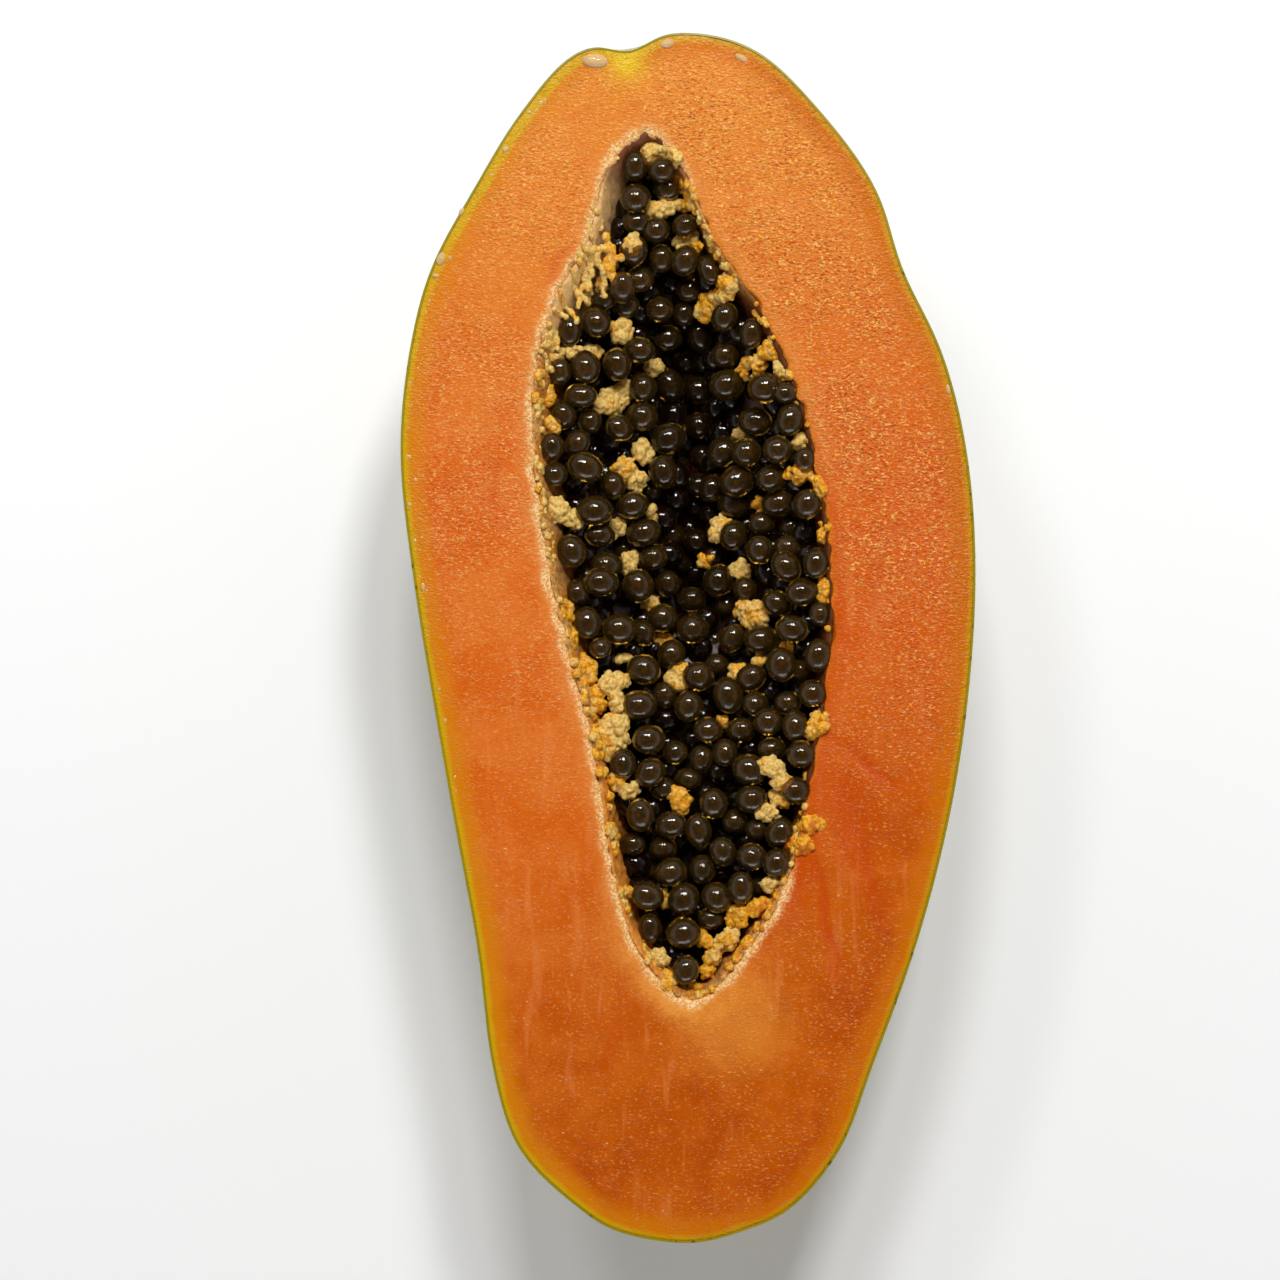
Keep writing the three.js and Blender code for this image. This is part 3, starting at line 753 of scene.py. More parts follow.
# --- Seeds ---
# Each seed is a wrinkled black kernel in a clear olive jelly coat, as long as a pea is wide.
# The upper seeds lie where they lay in the fruit; more fill the heap below, pushed apart. The lower
# seeds and those in the trench are darkened with painted shade.
# Across, along, length, width, lean of the long axis in degrees, depth below the heap's top: mm.
SEEDS = [
    (-10.1, 90.1, 6.1, 5.1, 90, 2), (-4.9, 88.9, 5.5, 5, 0, 4), (-4, 86.1, 5.7, 5, 0, 2),
    (-9.9, 83.8, 6.1, 5.9, 0, 0), (-9.7, 79.6, 5.6, 5, 0, 4), (-6.2, 78.1, 5.5, 5.2, 0, 0),
    (-0.6, 78.9, 5.2, 4.6, 20, 4), (-10.5, 74.1, 6.4, 5.7, 90, 4), (-4.9, 72.8, 5.6, 4.9, 90, 2),
    (-0.4, 72.2, 6.3, 5.5, 65, 0), (4, 70.5, 6.3, 4.4, 115, 2), (-9.1, 68.8, 5.5, 5.3, 0, 4),
    (-12.4, 66.9, 6.7, 5.2, 90, 0), (0.4, 67.1, 5.1, 4.8, 0, 2), (-16.3, 64.8, 5, 4.6, 0, 4),
    (-11.8, 63.8, 5.4, 5, 0, 3), (-5.3, 63.3, 5.4, 5.2, 0, 2), (-0.6, 62.7, 5.1, 4.5, 90, 2),
    (-2.9, 65.2, 5, 4.6, 0, 6), (-17.5, 60.4, 6.1, 5.7, 140, 0), (-22.6, 58.7, 6.3, 4.8, 90, 2),
    (7.2, 61.4, 6.1, 5.3, 70, 0), (2.7, 58.5, 6.5, 5.4, 100, 2), (12.2, 58.1, 6.2, 4.6, 80, 2),
    (-3.8, 58.1, 5.8, 5.2, 0, 2), (-9.3, 55.5, 6.1, 5.2, 165, 2), (7.4, 54.5, 5.6, 5.3, 30, 2),
    (-19.6, 51.9, 6.8, 5.8, 110, 0), (-13.5, 52.6, 6.6, 5.6, 100, 0), (-24.5, 50.9, 5.4, 4.6, 90, 4),
    (-20.5, 46.4, 6.5, 4.9, 0, 3), (-23.8, 42.6, 5.7, 5.1, 100, 3), (-18.8, 41.6, 5.1, 4.7, 90, 4),
    (-13.1, 40.3, 5.9, 5.1, 145, 0), (-8.6, 48.3, 5.9, 5.6, 90, 0), (-3.6, 49.2, 7, 6, 115, 2),
    (2.5, 48.5, 6.1, 5.8, 0, 2), (7.8, 48.8, 7, 6.2, 15, 0), (-0.2, 53.6, 5.4, 4.6, 0, 5),
    (3.4, 54, 5, 4.6, 90, 5), (14.8, 47.7, 6.8, 6.1, 10, 2), (18.8, 46.6, 5, 4.4, 0, 5),
    (-8.9, 42.8, 6.4, 6.1, 0, 3), (-3.6, 38.6, 7.3, 6.1, 25, 0), (2.5, 41.4, 5.5, 5.3, 0, 4),
    (7.6, 42.4, 5, 4.6, 0, 6), (13.1, 41.6, 7, 5.8, 0, 2), (19.6, 41.8, 7, 5.4, 75, 0),
    (-26, 36.5, 5.6, 4.8, 90, 3), (-21.1, 37.1, 5.6, 4.9, 60, 3), (-19.6, 32.7, 7.4, 6, 160, 0),
    (-16, 35.3, 5.5, 4.8, 0, 5), (-25.5, 31.2, 5.1, 4.9, 0, 3), (-4.6, 32.1, 6.6, 6, 110, 0),
    (-1.3, 33.4, 5, 4.6, 0, 6), (2.9, 35.5, 5.2, 4.6, 90, 5), (7, 36.1, 6.7, 5.8, 45, 2),
    (11.4, 35.7, 5.9, 5.7, 0, 0), (17.3, 35.9, 5.9, 5.7, 0, 0), (22.4, 34, 5, 4.4, 90, 5),
    (9.7, 30.2, 7.1, 6.3, 20, 0), (16.2, 30.6, 6.4, 5.3, 20, 0), (2.3, 29.8, 5.2, 4.9, 0, 4),
    (4.8, 29.1, 5.7, 5, 60, 3), (-14.4, 29.5, 5.6, 5.1, 100, 2), (-20.7, 28.1, 5.9, 5, 0, 4),
    (-17.9, 24.3, 7.4, 6.1, 5, 0), (-10.6, 25.5, 6.5, 5.4, 15, 0), (-7.2, 28.5, 5.4, 4.8, 0, 5),
    (-2.7, 24.5, 5.2, 4.6, 0, 6), (5.1, 24.3, 5.2, 4.6, 0, 5), (9.3, 25.8, 6.9, 5.6, 0, 3),
    (17.7, 26, 7, 5.4, 15, 3), (22.8, 25.5, 6, 5.5, 70, 0), (-8.4, 20.3, 7, 5.7, 20, 0),
    (-16.9, 19.8, 6.2, 4.9, 0, 3), (-3, 20, 5.4, 4.9, 0, 5), (1.9, 18.8, 5.4, 5.2, 0, 4),
    (8.9, 19.8, 6.1, 5.5, 70, 0), (14.4, 22, 5.3, 4.8, 0, 2), (20.5, 21.3, 5.8, 4.8, 0, 4),
    (-22.2, 16.7, 6.6, 5.8, 115, 0), (-12.5, 16.9, 5.7, 4.8, 0, 4), (-6.7, 15.6, 6.2, 5.5, 15, 0),
    (13.9, 16.9, 5.7, 5.4, 90, 0), (19.6, 17.3, 5.9, 4.9, 0, 3), (-15.6, 13.7, 6.8, 5.4, 0, 2),
    (-16.5, 10.8, 7, 5.9, 0, 0), (-9.5, 10.1, 6.7, 6.2, 100, 0), (-1.5, 14.8, 5.3, 4.8, 0, 4),
    (-3.8, 10.5, 5.5, 5.1, 90, 2), (1.7, 12.7, 5.2, 4.7, 0, 6), (6.1, 11.2, 6.4, 6.1, 60, 0),
    (7.4, 16.7, 5.4, 4.8, 0, 5), (18.8, 13.7, 6.7, 5.5, 130, 0), (24.5, 14.3, 6.2, 5.2, 80, 0),
    (14.4, 12, 5, 4.7, 0, 4), (11.2, 9.5, 5.3, 4.8, 90, 2), (21.9, 8.7, 6.8, 5.5, 10, 2),
    (17.3, 6.7, 6.1, 5.2, 160, 3), (-21.1, 8.7, 5.4, 4.8, 90, 2), (-15.4, 6.3, 5.1, 4.7, 0, 5),
    (-10.8, 5.3, 5, 4.6, 0, 5), (1, 7.4, 5.7, 5.3, 0, 2), (7.6, 6.3, 5.1, 4.8, 0, 4),
    (-19.2, 2.9, 6.4, 5.3, 95, 1), (-13.1, 1.7, 7, 6.1, 0, 0), (-8.6, 1, 5.2, 4.8, 110, 3),
    (-4.8, 3.8, 6.1, 5.7, 0, 0), (1.1, 1.7, 6.4, 5.9, 0, 0), (4, 2.5, 4.8, 4.4, 0, 5),
    (8.7, 0, 5.9, 5, 60, 2), (14.3, -0.4, 6.9, 5.7, 0, 0), (20, 1.7, 6.4, 5.5, 170, 2),
    (25.3, 4.6, 5, 4.3, 90, 4), (-16.7, -1.9, 4.4, 4.2, 0, 2), (-11, -2.3, 5, 4.6, 0, 6),
    (-3, -3.2, 6.1, 5.6, 70, 2), (5.3, -0.4, 5, 4.6, 0, 6), (-8.4, -6.1, 6.8, 6, 160, 0),
    (-14.6, -5.3, 5.5, 4.8, 0, 4), (17.9, -5.1, 6.8, 6, 100, 0), (25.3, -3.4, 6.6, 5.6, 80, 0),
    (2.1, -7.4, 6.4, 5.8, 0, 0), (5.9, -5.3, 5, 4.6, 0, 4), (12.2, -7.6, 6.2, 5.3, 25, 0),
    (21.9, -6.5, 5.4, 4.8, 0, 4), (23.9, -10.6, 5.7, 5.5, 0, 2), (18.4, -9.9, 5.4, 4.8, 0, 5),
    (-4.4, -11, 5.3, 4.8, 100, 2), (7.8, -11, 7.3, 5.9, 100, 0), (-9.3, -12.9, 7.1, 5.9, 0, 0),
    (0.2, -13.1, 6.1, 5.7, 80, 0), (13.1, -12.7, 5.2, 5, 0, 2), (19.2, -12.4, 5.2, 4.7, 0, 4),
    (15.4, -16, 5.7, 5.5, 0, 0), (20.5, -16.7, 6, 5.3, 90, 0), (-6.3, -15.6, 5.2, 4.7, 0, 5),
    (-2.1, -16.9, 5.2, 4.7, 0, 5), (4, -17.7, 5.9, 5.2, 0, 1), (10.3, -17.7, 5.9, 5, 0, 3),
    (-7.4, -19.4, 6.7, 5.8, 10, 0), (-2.3, -22, 5, 4.8, 0, 3), (2.7, -23.2, 5.4, 5, 90, 3),
    (7.2, -22, 5.5, 4.8, 90, 2), (16.2, -21.3, 5.7, 4.8, 0, 3), (21.7, -22.2, 5.9, 5.5, 0, 1),
    (-12.4, -24.1, 6.1, 5.2, 90, 2), (-7.2, -25.8, 6.3, 5.7, 35, 0), (11.8, -25.1, 6.9, 6.1, 160, 0),
    (-4.6, -28.9, 5.2, 4.6, 0, 4), (0.2, -27.2, 5.4, 4.7, 0, 4), (5.5, -27.4, 5.2, 4.7, 0, 5),
    (8.4, -29.1, 5, 4.6, 0, 5), (4.9, -31.7, 6.1, 5.7, 90, 0), (12.2, -30.8, 6.4, 5.6, 0, 0),
    (20.5, -29.1, 5.9, 5.5, 165, 1), (-9.1, -33.8, 6.7, 5.4, 95, 0), (-3.2, -35.7, 6.2, 5.2, 10, 0),
    (1.3, -31.7, 5, 4.6, 0, 5), (9.1, -35.2, 5.3, 5, 0, 3), (2.1, -36.9, 6.7, 5.2, 100, 0),
    (13.5, -36.7, 5, 4.6, 0, 3), (17.5, -37.2, 6.3, 5.4, 65, 0), (-4.6, -40.3, 5.4, 4.7, 0, 4),
    (-10.6, -39.5, 5.2, 4.6, 0, 4), (6.8, -40.9, 6.3, 5.2, 115, 0), (12.2, -41.8, 5.8, 5.4, 0, 2),
    (16.9, -42.8, 5.9, 5.4, 45, 0), (-7.6, -44.5, 5, 4.6, 0, 5), (-3.2, -44.8, 6.2, 5.6, 30, 0),
    (2.9, -44.3, 5.7, 5.2, 90, 1), (7.2, -46, 5, 4.6, 0, 5), (10.1, -47.7, 6.5, 5.2, 90, 1),
    (14.1, -47.5, 4.8, 4.4, 0, 4), (-7.6, -49.2, 6.6, 5.7, 160, 0), (-0.8, -50, 6.7, 6.2, 55, 0),
    (5.7, -49.6, 6.4, 5.9, 150, 0), (4.6, -53.8, 5.4, 4.6, 0, 3), (-7.2, -55.5, 6, 4.7, 95, 3),
    (-0.8, -56.4, 6.8, 6.2, 0, 0), (-0.4, -63.3, 5.8, 5.3, 80, 0),
]
UPPER_FREEDOM = 0.015
DEEPER_LAYERS = (6.5 * MM, 11.0 * MM)
DEEPER_SPACING = 5.4 * MM
DEEPER_STRAY = 0.8 * MM
SOFTNESS = 0.90
PUSHES, PUSH = 40, 0.3
WALL_TOUCH, WALL_LIFT = 0.75, 0.6
LOWER_COVER, HEADROOM = 6 * MM, 2 * MM
seeds_random = random.Random(7)


def tree_of_node(node):
    """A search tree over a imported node's surface."""
    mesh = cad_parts[node].data
    corners = [v.co for v in mesh.vertices]
    return BVHTree.FromPolygons(corners, [p.vertices[:] for p in mesh.polygons])


heap_surface = tree_of_node("seed_heap")
fruit_surface = tree_of_node("flesh")


def heap_top(x, y):
    """The height of the heap's top at a place, or just inside it for a place beside the heap."""
    for share in (1, 0.94, 0.88, 0.82, 0.76, 0.7, 0.6, 0.5):
        above = Vector((x * share, y * 0.5 + y * share * 0.5, 1))
        hit = heap_surface.ray_cast(above, Vector((0, 0, -1)))[0]
        if hit is not None:
            return hit.z
    return cut_height - 6 * MM


def over_heap(x, y):
    return heap_surface.ray_cast(Vector((x, y, 1)), Vector((0, 0, -1)))[0] is not None


def upper_seeds():
    """Centre, length, width, lean and freedom to move sideways of each listed seed."""
    seeds = []
    for x, y, length, width, lean, sunk in SEEDS:
        centre = Vector((x * MM, y * MM, 0))
        sunk *= 1.2 + 0.8 * in_trench(centre.x, centre.y)
        centre.z = heap_top(centre.x, centre.y) + (1 - width / 2 - sunk) * MM
        seeds.append((centre, length * MM, width * MM, math.radians(lean), UPPER_FREEDOM))
    return seeds


def lower_seeds():
    """Seeds in staggered layers under the listed ones, free to move sideways."""
    low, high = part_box("seed_heap")
    seeds = []
    for depth in DEEPER_LAYERS:
        y = low.y
        while y < high.y:
            x = low.x + seeds_random.uniform(0, DEEPER_SPACING)
            while x < high.x:
                aside, ahead = (seeds_random.gauss(0, DEEPER_STRAY) for _ in range(2))
                centre = Vector((x + aside, y + ahead, 0))
                width = seeds_random.uniform(4.8, 5.6) * MM
                trench = in_trench(centre.x, centre.y)
                if over_heap(centre.x, centre.y) and not (trench > 0.5 and depth == DEEPER_LAYERS[0]):
                    centre.z = heap_top(centre.x, centre.y) - depth - trench * 2 * MM
                    lean = seeds_random.uniform(0, math.pi)
                    seeds.append((centre, width * seeds_random.uniform(1.02, 1.2), width, lean, 1.0))
                x += DEEPER_SPACING
            y += DEEPER_SPACING * 0.87
    return seeds


def settle(seeds):
    """Pushes seeds off each other and off the cavity's wall, and gives their new centres."""
    places = np.array([seed[0] for seed in seeds])
    radii = np.array([(seed[1] + seed[2]) / 4 for seed in seeds])
    frees = [seed[4] for seed in seeds]
    freedom = np.array([[free, free, 1.0] for free in frees])
    reach = (radii[:, None] + radii[None, :]) * SOFTNESS
    for _ in range(PUSHES):
        gaps = places[:, None, :] - places[None, :, :]
        apart = np.linalg.norm(gaps, axis=2) + 1e-9
        press = np.clip(reach - apart, 0, None)
        np.fill_diagonal(press, 0)
        places += (gaps / apart[:, :, None] * press[:, :, None]).sum(axis=1) * PUSH * freedom
        for i, free in enumerate(frees):
            centre = Vector(places[i])
            wall_point, wall_normal, _, _ = fruit_surface.find_nearest(centre)
            lack = radii[i] * WALL_TOUCH - (centre - wall_point).dot(wall_normal)
            if lack > 0:
                centre += Vector((wall_normal.x * free, wall_normal.y * free, WALL_LIFT)) * lack
            cover = LOWER_COVER if free == 1 else 0
            ceiling = heap_top(centre.x, centre.y) - radii[i] * 0.4 - cover
            centre.z = min(centre.z, ceiling + HEADROOM, cut_height - radii[i] * 0.6)
            places[i] = centre
    return [Vector(place) for place in places]


seeds = upper_seeds() + lower_seeds()
seed_centres = settle(seeds)


def model_seed(name, segments, rings, wrinkle):
    """A seed's kernel or coat of length and width 1: a ball of few faces, dented a little."""
    bpy.ops.mesh.primitive_uv_sphere_add(segments=segments, ring_count=rings, radius=0.5)
    ball = bpy.context.object
    ball.name = name
    for corner in ball.data.vertices:
        corner.co *= 1 + wrinkle * noise.noise(corner.co * 3)
    return ball


def seed_turn(lean):
    """A seed rolled about its long axis, which lies along its lean, tipped up a little."""
    roll = Matrix.Rotation(seeds_random.uniform(0, math.tau), 3, "Z")
    lie = Matrix.Rotation(math.pi / 2 + seeds_random.gauss(0, 0.25), 3, "Y")
    return Matrix.Rotation(lean, 3, "Z") @ lie @ roll


KERNEL_SHARE = 0.66
coat_spots, kernel_spots = [], []
for (_, length, width, lean, freedom), centre in zip(seeds, seed_centres):
    turn = seed_turn(lean)
    size = Vector((width, width, length))
    # Lower seeds, and upper seeds in the trench, get painted shade, stored as deep.
    shade = 1.0 if freedom == 1.0 else 0.8 * in_trench(centre.x, centre.y)
    coat_spots.append((centre, size, turn, shade))
    kernel_spots.append((centre, size * KERNEL_SHARE, turn, shade))
kernels = strew("seed_kernels", model_seed("kernel", 10, 8, 0.10), kernel_spots)
coats = strew("seed_coats", model_seed("coat", 12, 8, 0.03), coat_spots)

tree, shader = new_material(kernels, "seed_kernel", 0.40, Specular_IOR_Level=0.2)
place = object_place(tree)
husk = blend(share_of(cloud(place, 1.4, 3), 0.34, 0.66), (26, 12, 4), (84, 54, 20))
# Painted shade darkens the kernels of deep seeds.
husk = blend(value_of(tree, "deep"), husk, (16, 7, 2))
set_inputs(shader, {"Base Color": husk, "Normal": bump(cloud(place, 1.0, 2), 0.6, 0.5 * MM)})
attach(kernels, "root")

tree, shader = new_material(
    coats, "seed_jelly", 0.06, IOR=1.31, Transmission_Weight=0.95, Coat_Weight=0.5,
    Sheen_Weight=0.05, Sheen_Roughness=0.4, Sheen_Tint=paint(150, 132, 60),
)
place = object_place(tree)
jelly = blend(cloud(place, 7), (150, 108, 32), (184, 146, 56))
# Painted shade darkens the jelly of deep seeds.
jelly = blend(value_of(tree, "deep"), jelly, (84, 44, 14))
set_inputs(shader, {"Base Color": jelly, "Normal": bump(cloud(place, 1.5, 2), 0.22, 0.5 * MM)})
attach(coats, "root")


# --- Torn tissue ---
# Crumbly cream and yellow bits of the tissue that held the seeds, between them and on the wall.
# Each is a cluster of small lumps, melted together and roughened like popcorn.
# Across, along, width, length and lean of each bit's longer side in degrees, its depth below the
# seeds' tops, and how yellow it is.
BITS = [
    (-6.3, 92.2, 5.2, 3.8, 10, -1, 0.2), (-2.6, 91.2, 2.6, 2.6, 0, 0, 0.4),
    (-1.5, 87, 2, 3.4, 100, 0, 0.8), (-4.6, 82.3, 6.4, 3, 20, 0, 0.3),
    (0.4, 83.8, 2, 4.2, 70, 0, 0.6), (-0.4, 76, 4.4, 2.6, 20, 1, 0.1),
    (2.1, 74.9, 1.4, 1.4, 0, 0, 0.9), (-10.5, 75.1, 2.6, 3.6, 90, -1.5, 0.3),
    (-15.4, 71.5, 3.4, 2, 20, 0, 0.9), (-16.4, 67.4, 2, 2.8, 110, 0.4, 0.3),
    (-19.8, 66.3, 1.6, 4.4, 115, 0, 0.2), (7.6, 67, 4.2, 4.2, 40, 0, 0.6),
    (4, 63.8, 3.6, 5.6, 60, 0, 0.7), (6.3, 64.6, 1.8, 1.8, 0, -1, 0),
    (-12.6, 59, 3.8, 4.2, 80, 0, 0.3), (-26.2, 57, 2.4, 4, 80, 0, 0.4),
    (-22.2, 54.7, 3.6, 2, 0, 0, 0.1), (-18.6, 54.9, 4.2, 2.4, 10, 1.5, 0.3),
    (-26, 53.2, 3.6, 2.6, 20, 0, 0.2), (-14.4, 45.6, 6.6, 4.6, 30, 1.5, 0.2),
    (-12, 47.8, 3.6, 3.2, 60, 1.5, 0.2), (-6.3, 52.6, 3.4, 1.8, 20, 2, 0),
    (12.4, 52, 5.4, 3.6, 35, 0.5, 0.8), (15.6, 54.8, 4, 3.4, 50, 0, 0.7),
    (17.8, 51, 2.2, 4, 120, 0, 0.2), (-26, 40.7, 3.4, 2.2, 150, 0, 0.8),
    (-26.6, 46.6, 2, 4.4, 90, 0, 0.7), (-8.6, 36, 3.2, 4.6, 110, 0, 0.1),
    (-12.2, 32.6, 4.4, 4, 30, 0.5, 0.5), (-9.6, 30.2, 3.6, 3.6, 0, 0.5, 0.3),
    (10.3, 39.5, 2.2, 1.4, 0, 2, 0), (21.5, 37.4, 2.2, 1.8, 0, 0, 0.2),
    (21.3, 31.4, 5.2, 2.8, 0, 0, 0.7), (25, 28.8, 2, 4.4, 110, 0, 0.7),
    (-25.2, 24.4, 4.6, 4.6, 0, 0, 0.1), (-22.2, 22.8, 3.4, 3, 0, 1, 0.2),
    (13.7, 25.8, 1.6, 3.2, 100, 3, 0.9), (-6.8, 24.5, 2, 2.4, 60, 2, 0.2),
    (-13.3, 21.3, 2.4, 3.6, 80, 1.5, 0.1), (6.5, 21.1, 3.6, 5.2, 70, 1, 0.3),
    (26, 20.3, 2, 3.8, 90, 0, 0.9), (-11.2, 14.6, 2.6, 4.6, 70, 1.5, 0.2),
    (4.2, 15.2, 3.2, 2.4, 0, 2.5, 0.6), (10.3, 13.1, 3.6, 3, 0, 1.5, 0.2),
    (-7, 6.6, 3.2, 3.6, 60, 3, 0.5), (12.4, 4.6, 6.2, 4.6, 150, 0.5, 0.5),
    (26.2, 8.9, 2.2, 4.2, 90, 0, 0.9), (-23.2, 5, 2.6, 4.2, 100, 0, 0.8),
    (-22.4, 0.4, 2, 4.6, 100, 0, 0.9), (-4.6, -0.6, 4, 2.6, 0, 3.5, 0.9),
    (-12.5, -4.2, 2.6, 2, 0, 2, 0), (-1.5, -7.6, 4.2, 5.6, 60, 2, 0.4),
    (9.3, -6.9, 3, 2, 60, 2, 0.5), (13.9, -4.2, 2.2, 2.4, 0, 2, 0.7),
    (18.8, -2.2, 4, 2.4, 0, 3.5, 0.8), (-19.4, -6, 3.6, 5, 110, 0, 0.9),
    (-14.3, -8.6, 5.4, 3.8, 10, -0.5, 0.2), (-17.6, -11.8, 3.2, 5, 100, 0, 0.8),
    (-13.4, -12.4, 3, 3.6, 100, -0.5, 0.2), (-13.6, -16.4, 4.6, 4, 30, -0.5, 0.3),
    (-16.2, -18.6, 3.4, 5.4, 100, 0, 0.6), (-13.2, -19.6, 3.8, 3.4, 0, 0, 0.2),
    (24.6, -16.6, 3.4, 5.2, 60, 0, 0.8), (6.8, -16, 1.6, 1.8, 0, 2, 0.9),
    (-15, -21.8, 3, 3.4, 0, 0, 0.7), (-13.9, -27.2, 3.2, 2.6, 30, 0, 0.7),
    (-10.8, -28.9, 3.6, 2.4, 15, 0, 0.1), (-1.5, -31, 3.6, 4.8, 100, 0.5, 0.8),
    (16, -24.6, 4.4, 3, 160, -1.2, 0.2), (18, -27.4, 3.6, 3, 150, -1, 0.5),
    (17.8, -31, 4, 2.4, 150, 0.5, 0.8), (15.2, -33.4, 4.6, 2.8, 160, -0.5, 0.1),
    (23.6, -35.4, 4.8, 3.4, 20, 0.5, 1.2), (21.2, -39.2, 5, 3.2, 0, 0.5, 1.3),
    (-12, -48.6, 2.6, 2.4, 0, 0, 0.8), (-4.6, -49.8, 1.6, 3.2, 100, 1, 0.6),
    (15.6, -46.8, 3, 2.4, 30, 0, 0.1), (9.6, -53, 4.2, 3.6, 40, 0.6, 0.9),
    (13.8, -51.4, 4.6, 2.8, 20, 0, 1.1), (7.6, -57.6, 5, 3.6, 40, 0.6, 0.5),
    (3.4, -57.6, 2.6, 3, 110, 1, 1), (5, -61, 3.2, 2.4, 20, 0.5, 0.7),
    (-5.4, -61.4, 3.6, 2.8, 160, -0.5, 0.1), (-3.8, -65.2, 2.2, 3.8, 100, 0, 0.8),
    (3.8, -63.6, 2.2, 3.2, 80, 0.6, 1), (1.2, -67, 3.6, 1.4, 0, 1, 1),
]
TRIES_PER_SQUARE_MM = 6
LUMP_SPACING = 0.57 * MM
BIT_SPREAD = 1.18
SUNK_IN_HEAP, SUNK_IN_WALL = 1.4, 0.5
BIT_FILL, DOME_HEIGHT = 0.86, 1.6 * MM
TISSUE_GRAIN = 0.275 * MM
bits_random = random.Random(21)


def floor_at(x, y):
    """The height of the heap or the cavity's wall at a place, whichever is higher."""
    wall = fruit_surface.ray_cast(Vector((x, y, 1)), Vector((0, 0, -1)))[0].z
    return max(wall, heap_top(x, y)) if over_heap(x, y) else wall


def lumps_of_bit(x, y, width, length, lean, depth):
    """Centres and radii of the lumps that fill a bit's outline."""
    width, length = width * BIT_SPREAD, length * BIT_SPREAD
    depth += SUNK_IN_HEAP if over_heap(x * MM, y * MM) else SUNK_IN_WALL
    short_side, long_side = sorted((width / 2 * MM, length / 2 * MM))
    turn = Matrix.Rotation(math.radians(lean), 2)
    lumps = []
    for _ in range(int(TRIES_PER_SQUARE_MM * width * length)):
        u, v = bits_random.uniform(-1, 1), bits_random.uniform(-1, 1)
        if u * u + v * v > 1:
            continue
        spot = turn @ Vector((u * long_side, v * short_side)) * BIT_FILL
        centre = Vector((x * MM + spot.x, y * MM + spot.y, 0))
        dome = math.sqrt(max(0.0, 1 - u * u - v * v)) * min(short_side, DOME_HEIGHT)
        level = floor_at(centre.x, centre.y) - depth * MM
        centre.z = level + dome * bits_random.uniform(0.2, 1.0)
        if all((centre - other).length > LUMP_SPACING for other, _ in lumps):
            lumps.append((centre, bits_random.uniform(0.35, 0.85) * MM))
    return lumps


# Torn strands of the lining that hang over the hollow's edge: from, to, radius, how yellow.
STRANDS = [
    ((-19.9, 75.4), (-17.8, 68.3), 0.45, 0.3), ((-21, 73.6), (-18.6, 71.4), 0.35, 0.1),
    ((-18, 75.2), (-12.7, 72.2), 0.5, 0.7), ((-15.6, 76.4), (-14.4, 67.3), 0.6, 0.8),
    ((-14.4, 74.5), (-13.7, 67.3), 0.5, 0.9), ((-19, 73.7), (-18.2, 66.1), 0.5, 0.3),
    ((-17.1, 72.6), (-15.6, 65.7), 0.45, 0.2), ((-20.5, 71.4), (-19.4, 64.2), 0.45, 0.3),
    ((-22, 69.9), (-20.9, 62.7), 0.4, 0.2), ((-16.7, 74.9), (-19.8, 68.8), 0.35, 0.4),
    ((-24.2, 66), (-21.6, 60.4), 0.4, 0.6), ((-25.6, 62.4), (-23, 60.8), 0.4, 0.3),
    ((-26.8, 59.6), (-24.6, 55), 0.45, 0.4), ((-28, 54.6), (-25.8, 50.4), 0.4, 0.3),
    ((-19.6, 79.8), (-17.2, 74.6), 0.35, 0.1), ((-18, 82.4), (-16, 77.6), 0.3, 0),
]
STRAND_BEND = 1.2 * MM
STRAND_SAG = 0.24 * MM


def lumps_of_strand(start, end, radius):
    """Centres and radii of the lumps along a strand that lies on the wall."""
    line = Vector(end) - Vector(start)
    count = int(line.length / (radius * 0.7))
    lumps = []
    for i in range(count):
        spot = (Vector(start) + line * (i / count)) * MM
        bend = [waves(spot.to_3d(), size) for size in (2.5, 1.9)]
        spot += Vector(bend) * STRAND_BEND
        level = min(floor_at(spot.x, spot.y) + (radius + 0.5) * MM, cut_height - 0.2 * MM)
        level -= STRAND_SAG * math.sin(math.pi * i / count)
        lumps.append((Vector((*spot, level)), radius * bits_random.uniform(0.8, 1.25) * MM))
    return lumps


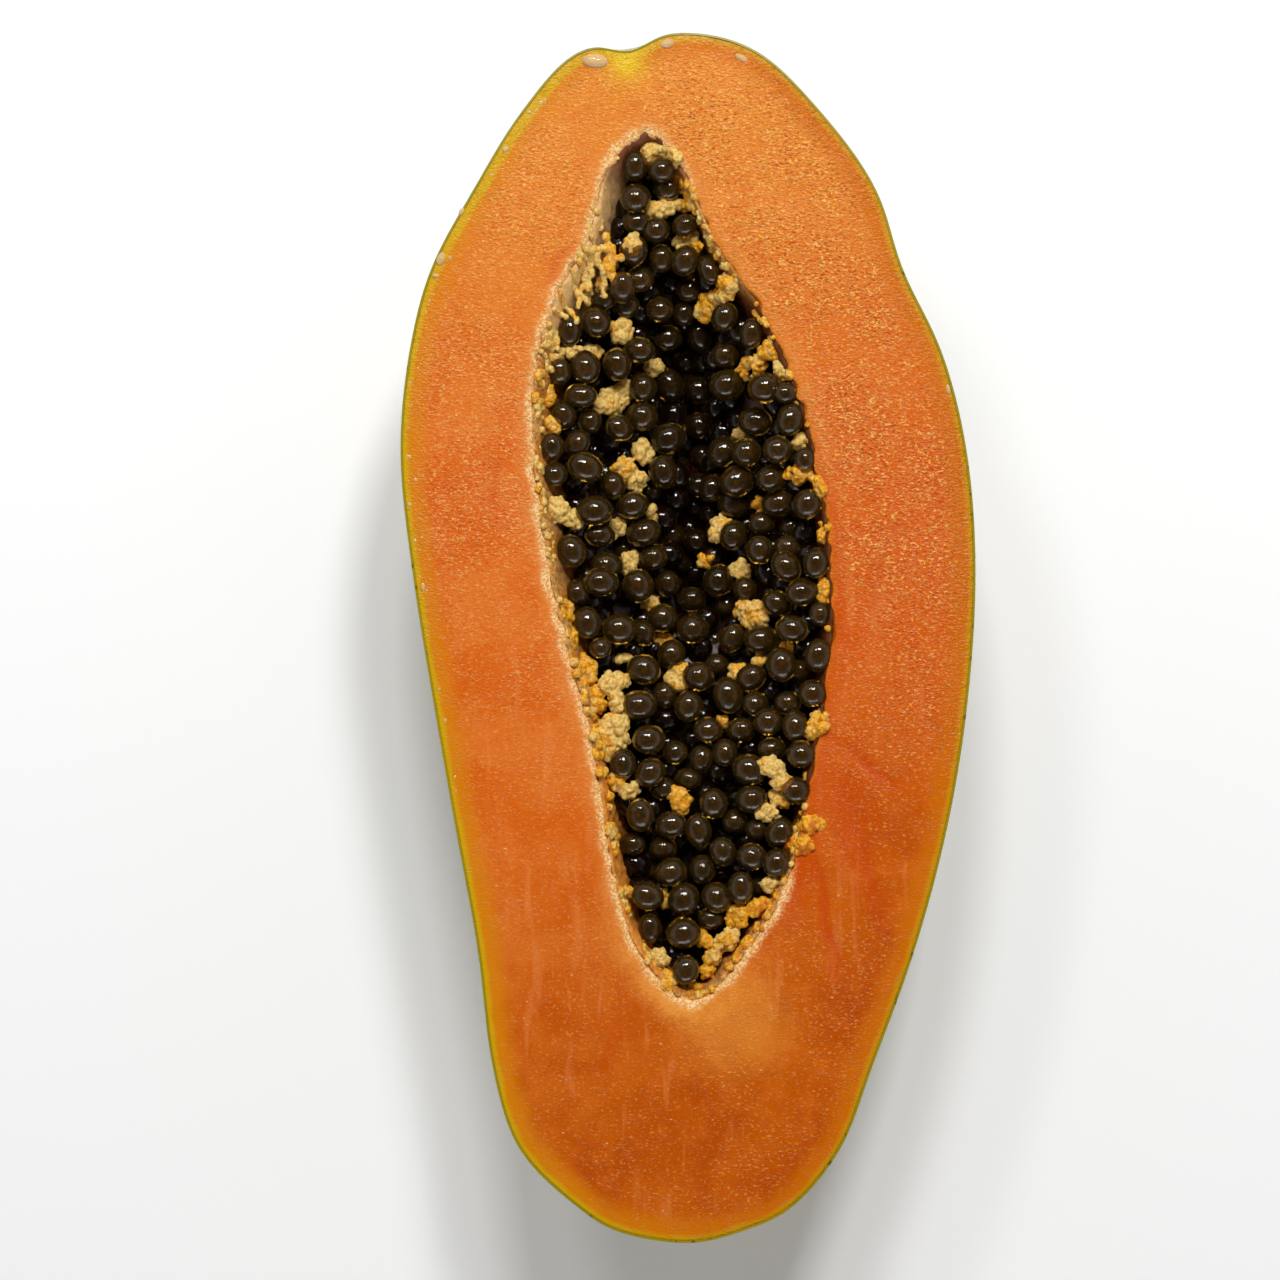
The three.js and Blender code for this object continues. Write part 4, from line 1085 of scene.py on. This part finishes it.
clusters = [(lumps_of_strand(*strand), yellow_share) for *strand, yellow_share in STRANDS]
clusters += [(lumps_of_bit(*bit), yellow_share) for *bit, yellow_share in BITS]
lumps = [lump for cluster, _ in clusters for lump in cluster]
lump_yellows = [yellow_share for cluster, yellow_share in clusters for _ in cluster]
tissue = melt("torn_tissue", lumps, TISSUE_GRAIN)
crumble(tissue, lumps, lump_yellows, 0.42 * MM)
tissue.data.materials.append(lining_crumbs.data.materials[0])
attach(tissue, "root")


# --- Droplets ---
# Milky drops of sap and juice that stand on the cut face close to the rind, most at the stem end.
# Across, along, width, length and lean of each, in mm and degrees.
DROPS = [
    (-17.6, 109.6, 5.4, 2.9, -6), (-3.9, 112.9, 2.9, 1.9, 10), (10.2, 110.2, 2.8, 1.3, -28),
    (-46.9, 72, 1.7, 2.7, -20), (-47.9, 68.8, 1.5, 0.8, -15), (49.5, 47.2, 0.9, 2, 12),
    (-34.6, 92.9, 1.5, 1.2, 40), (-50.3, 9.7, 0.8, 1.6, 5), (-43, 81, 1, 1.6, -30),
]
SMALL_DROPS = 44
drops_random = random.Random(12)
rim_places = [flesh.data.vertices[i].co for i in rim_corners if i in skin_corners]
left_places = [place for place in rim_places if place.x < -8 * MM and place.y > -30 * MM]
drop_spots = []
for x, y, width, length, lean in DROPS:
    size = Vector((width, length, min(width, length) * 0.8)) * MM
    turn = Matrix.Rotation(math.radians(lean), 3, "Z")
    drop_spots.append((Vector((x * MM, y * MM, cut_height - 0.1 * size.z)), size, turn, 0.0))
for _ in range(SMALL_DROPS):
    place = drops_random.choice(left_places)
    width = drops_random.uniform(0.35, 0.85) * MM
    inward = Vector((-place.x, -place.y * 0.4, 0)).normalized()
    inward *= drops_random.uniform(0.5, 2.4) * MM
    size = Vector((width, width * drops_random.uniform(0.8, 1.3), width * 0.6))
    turn = Matrix.Rotation(drops_random.uniform(0, math.pi), 3, "Z")
    drop_spots.append((place + inward, size, turn, 0.0))
drops = strew("juice_drops", model_seed("drop", 12, 8, 0.05), drop_spots)
tree, shader = new_material(drops, "milky_sap", 0.06, IOR=1.33, Transmission_Weight=0.4)
milk = blend(cloud(object_place(tree), 2.5), (238, 190, 112), (250, 226, 176))
set_inputs(shader, {"Base Color": milk})
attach(drops, "root")
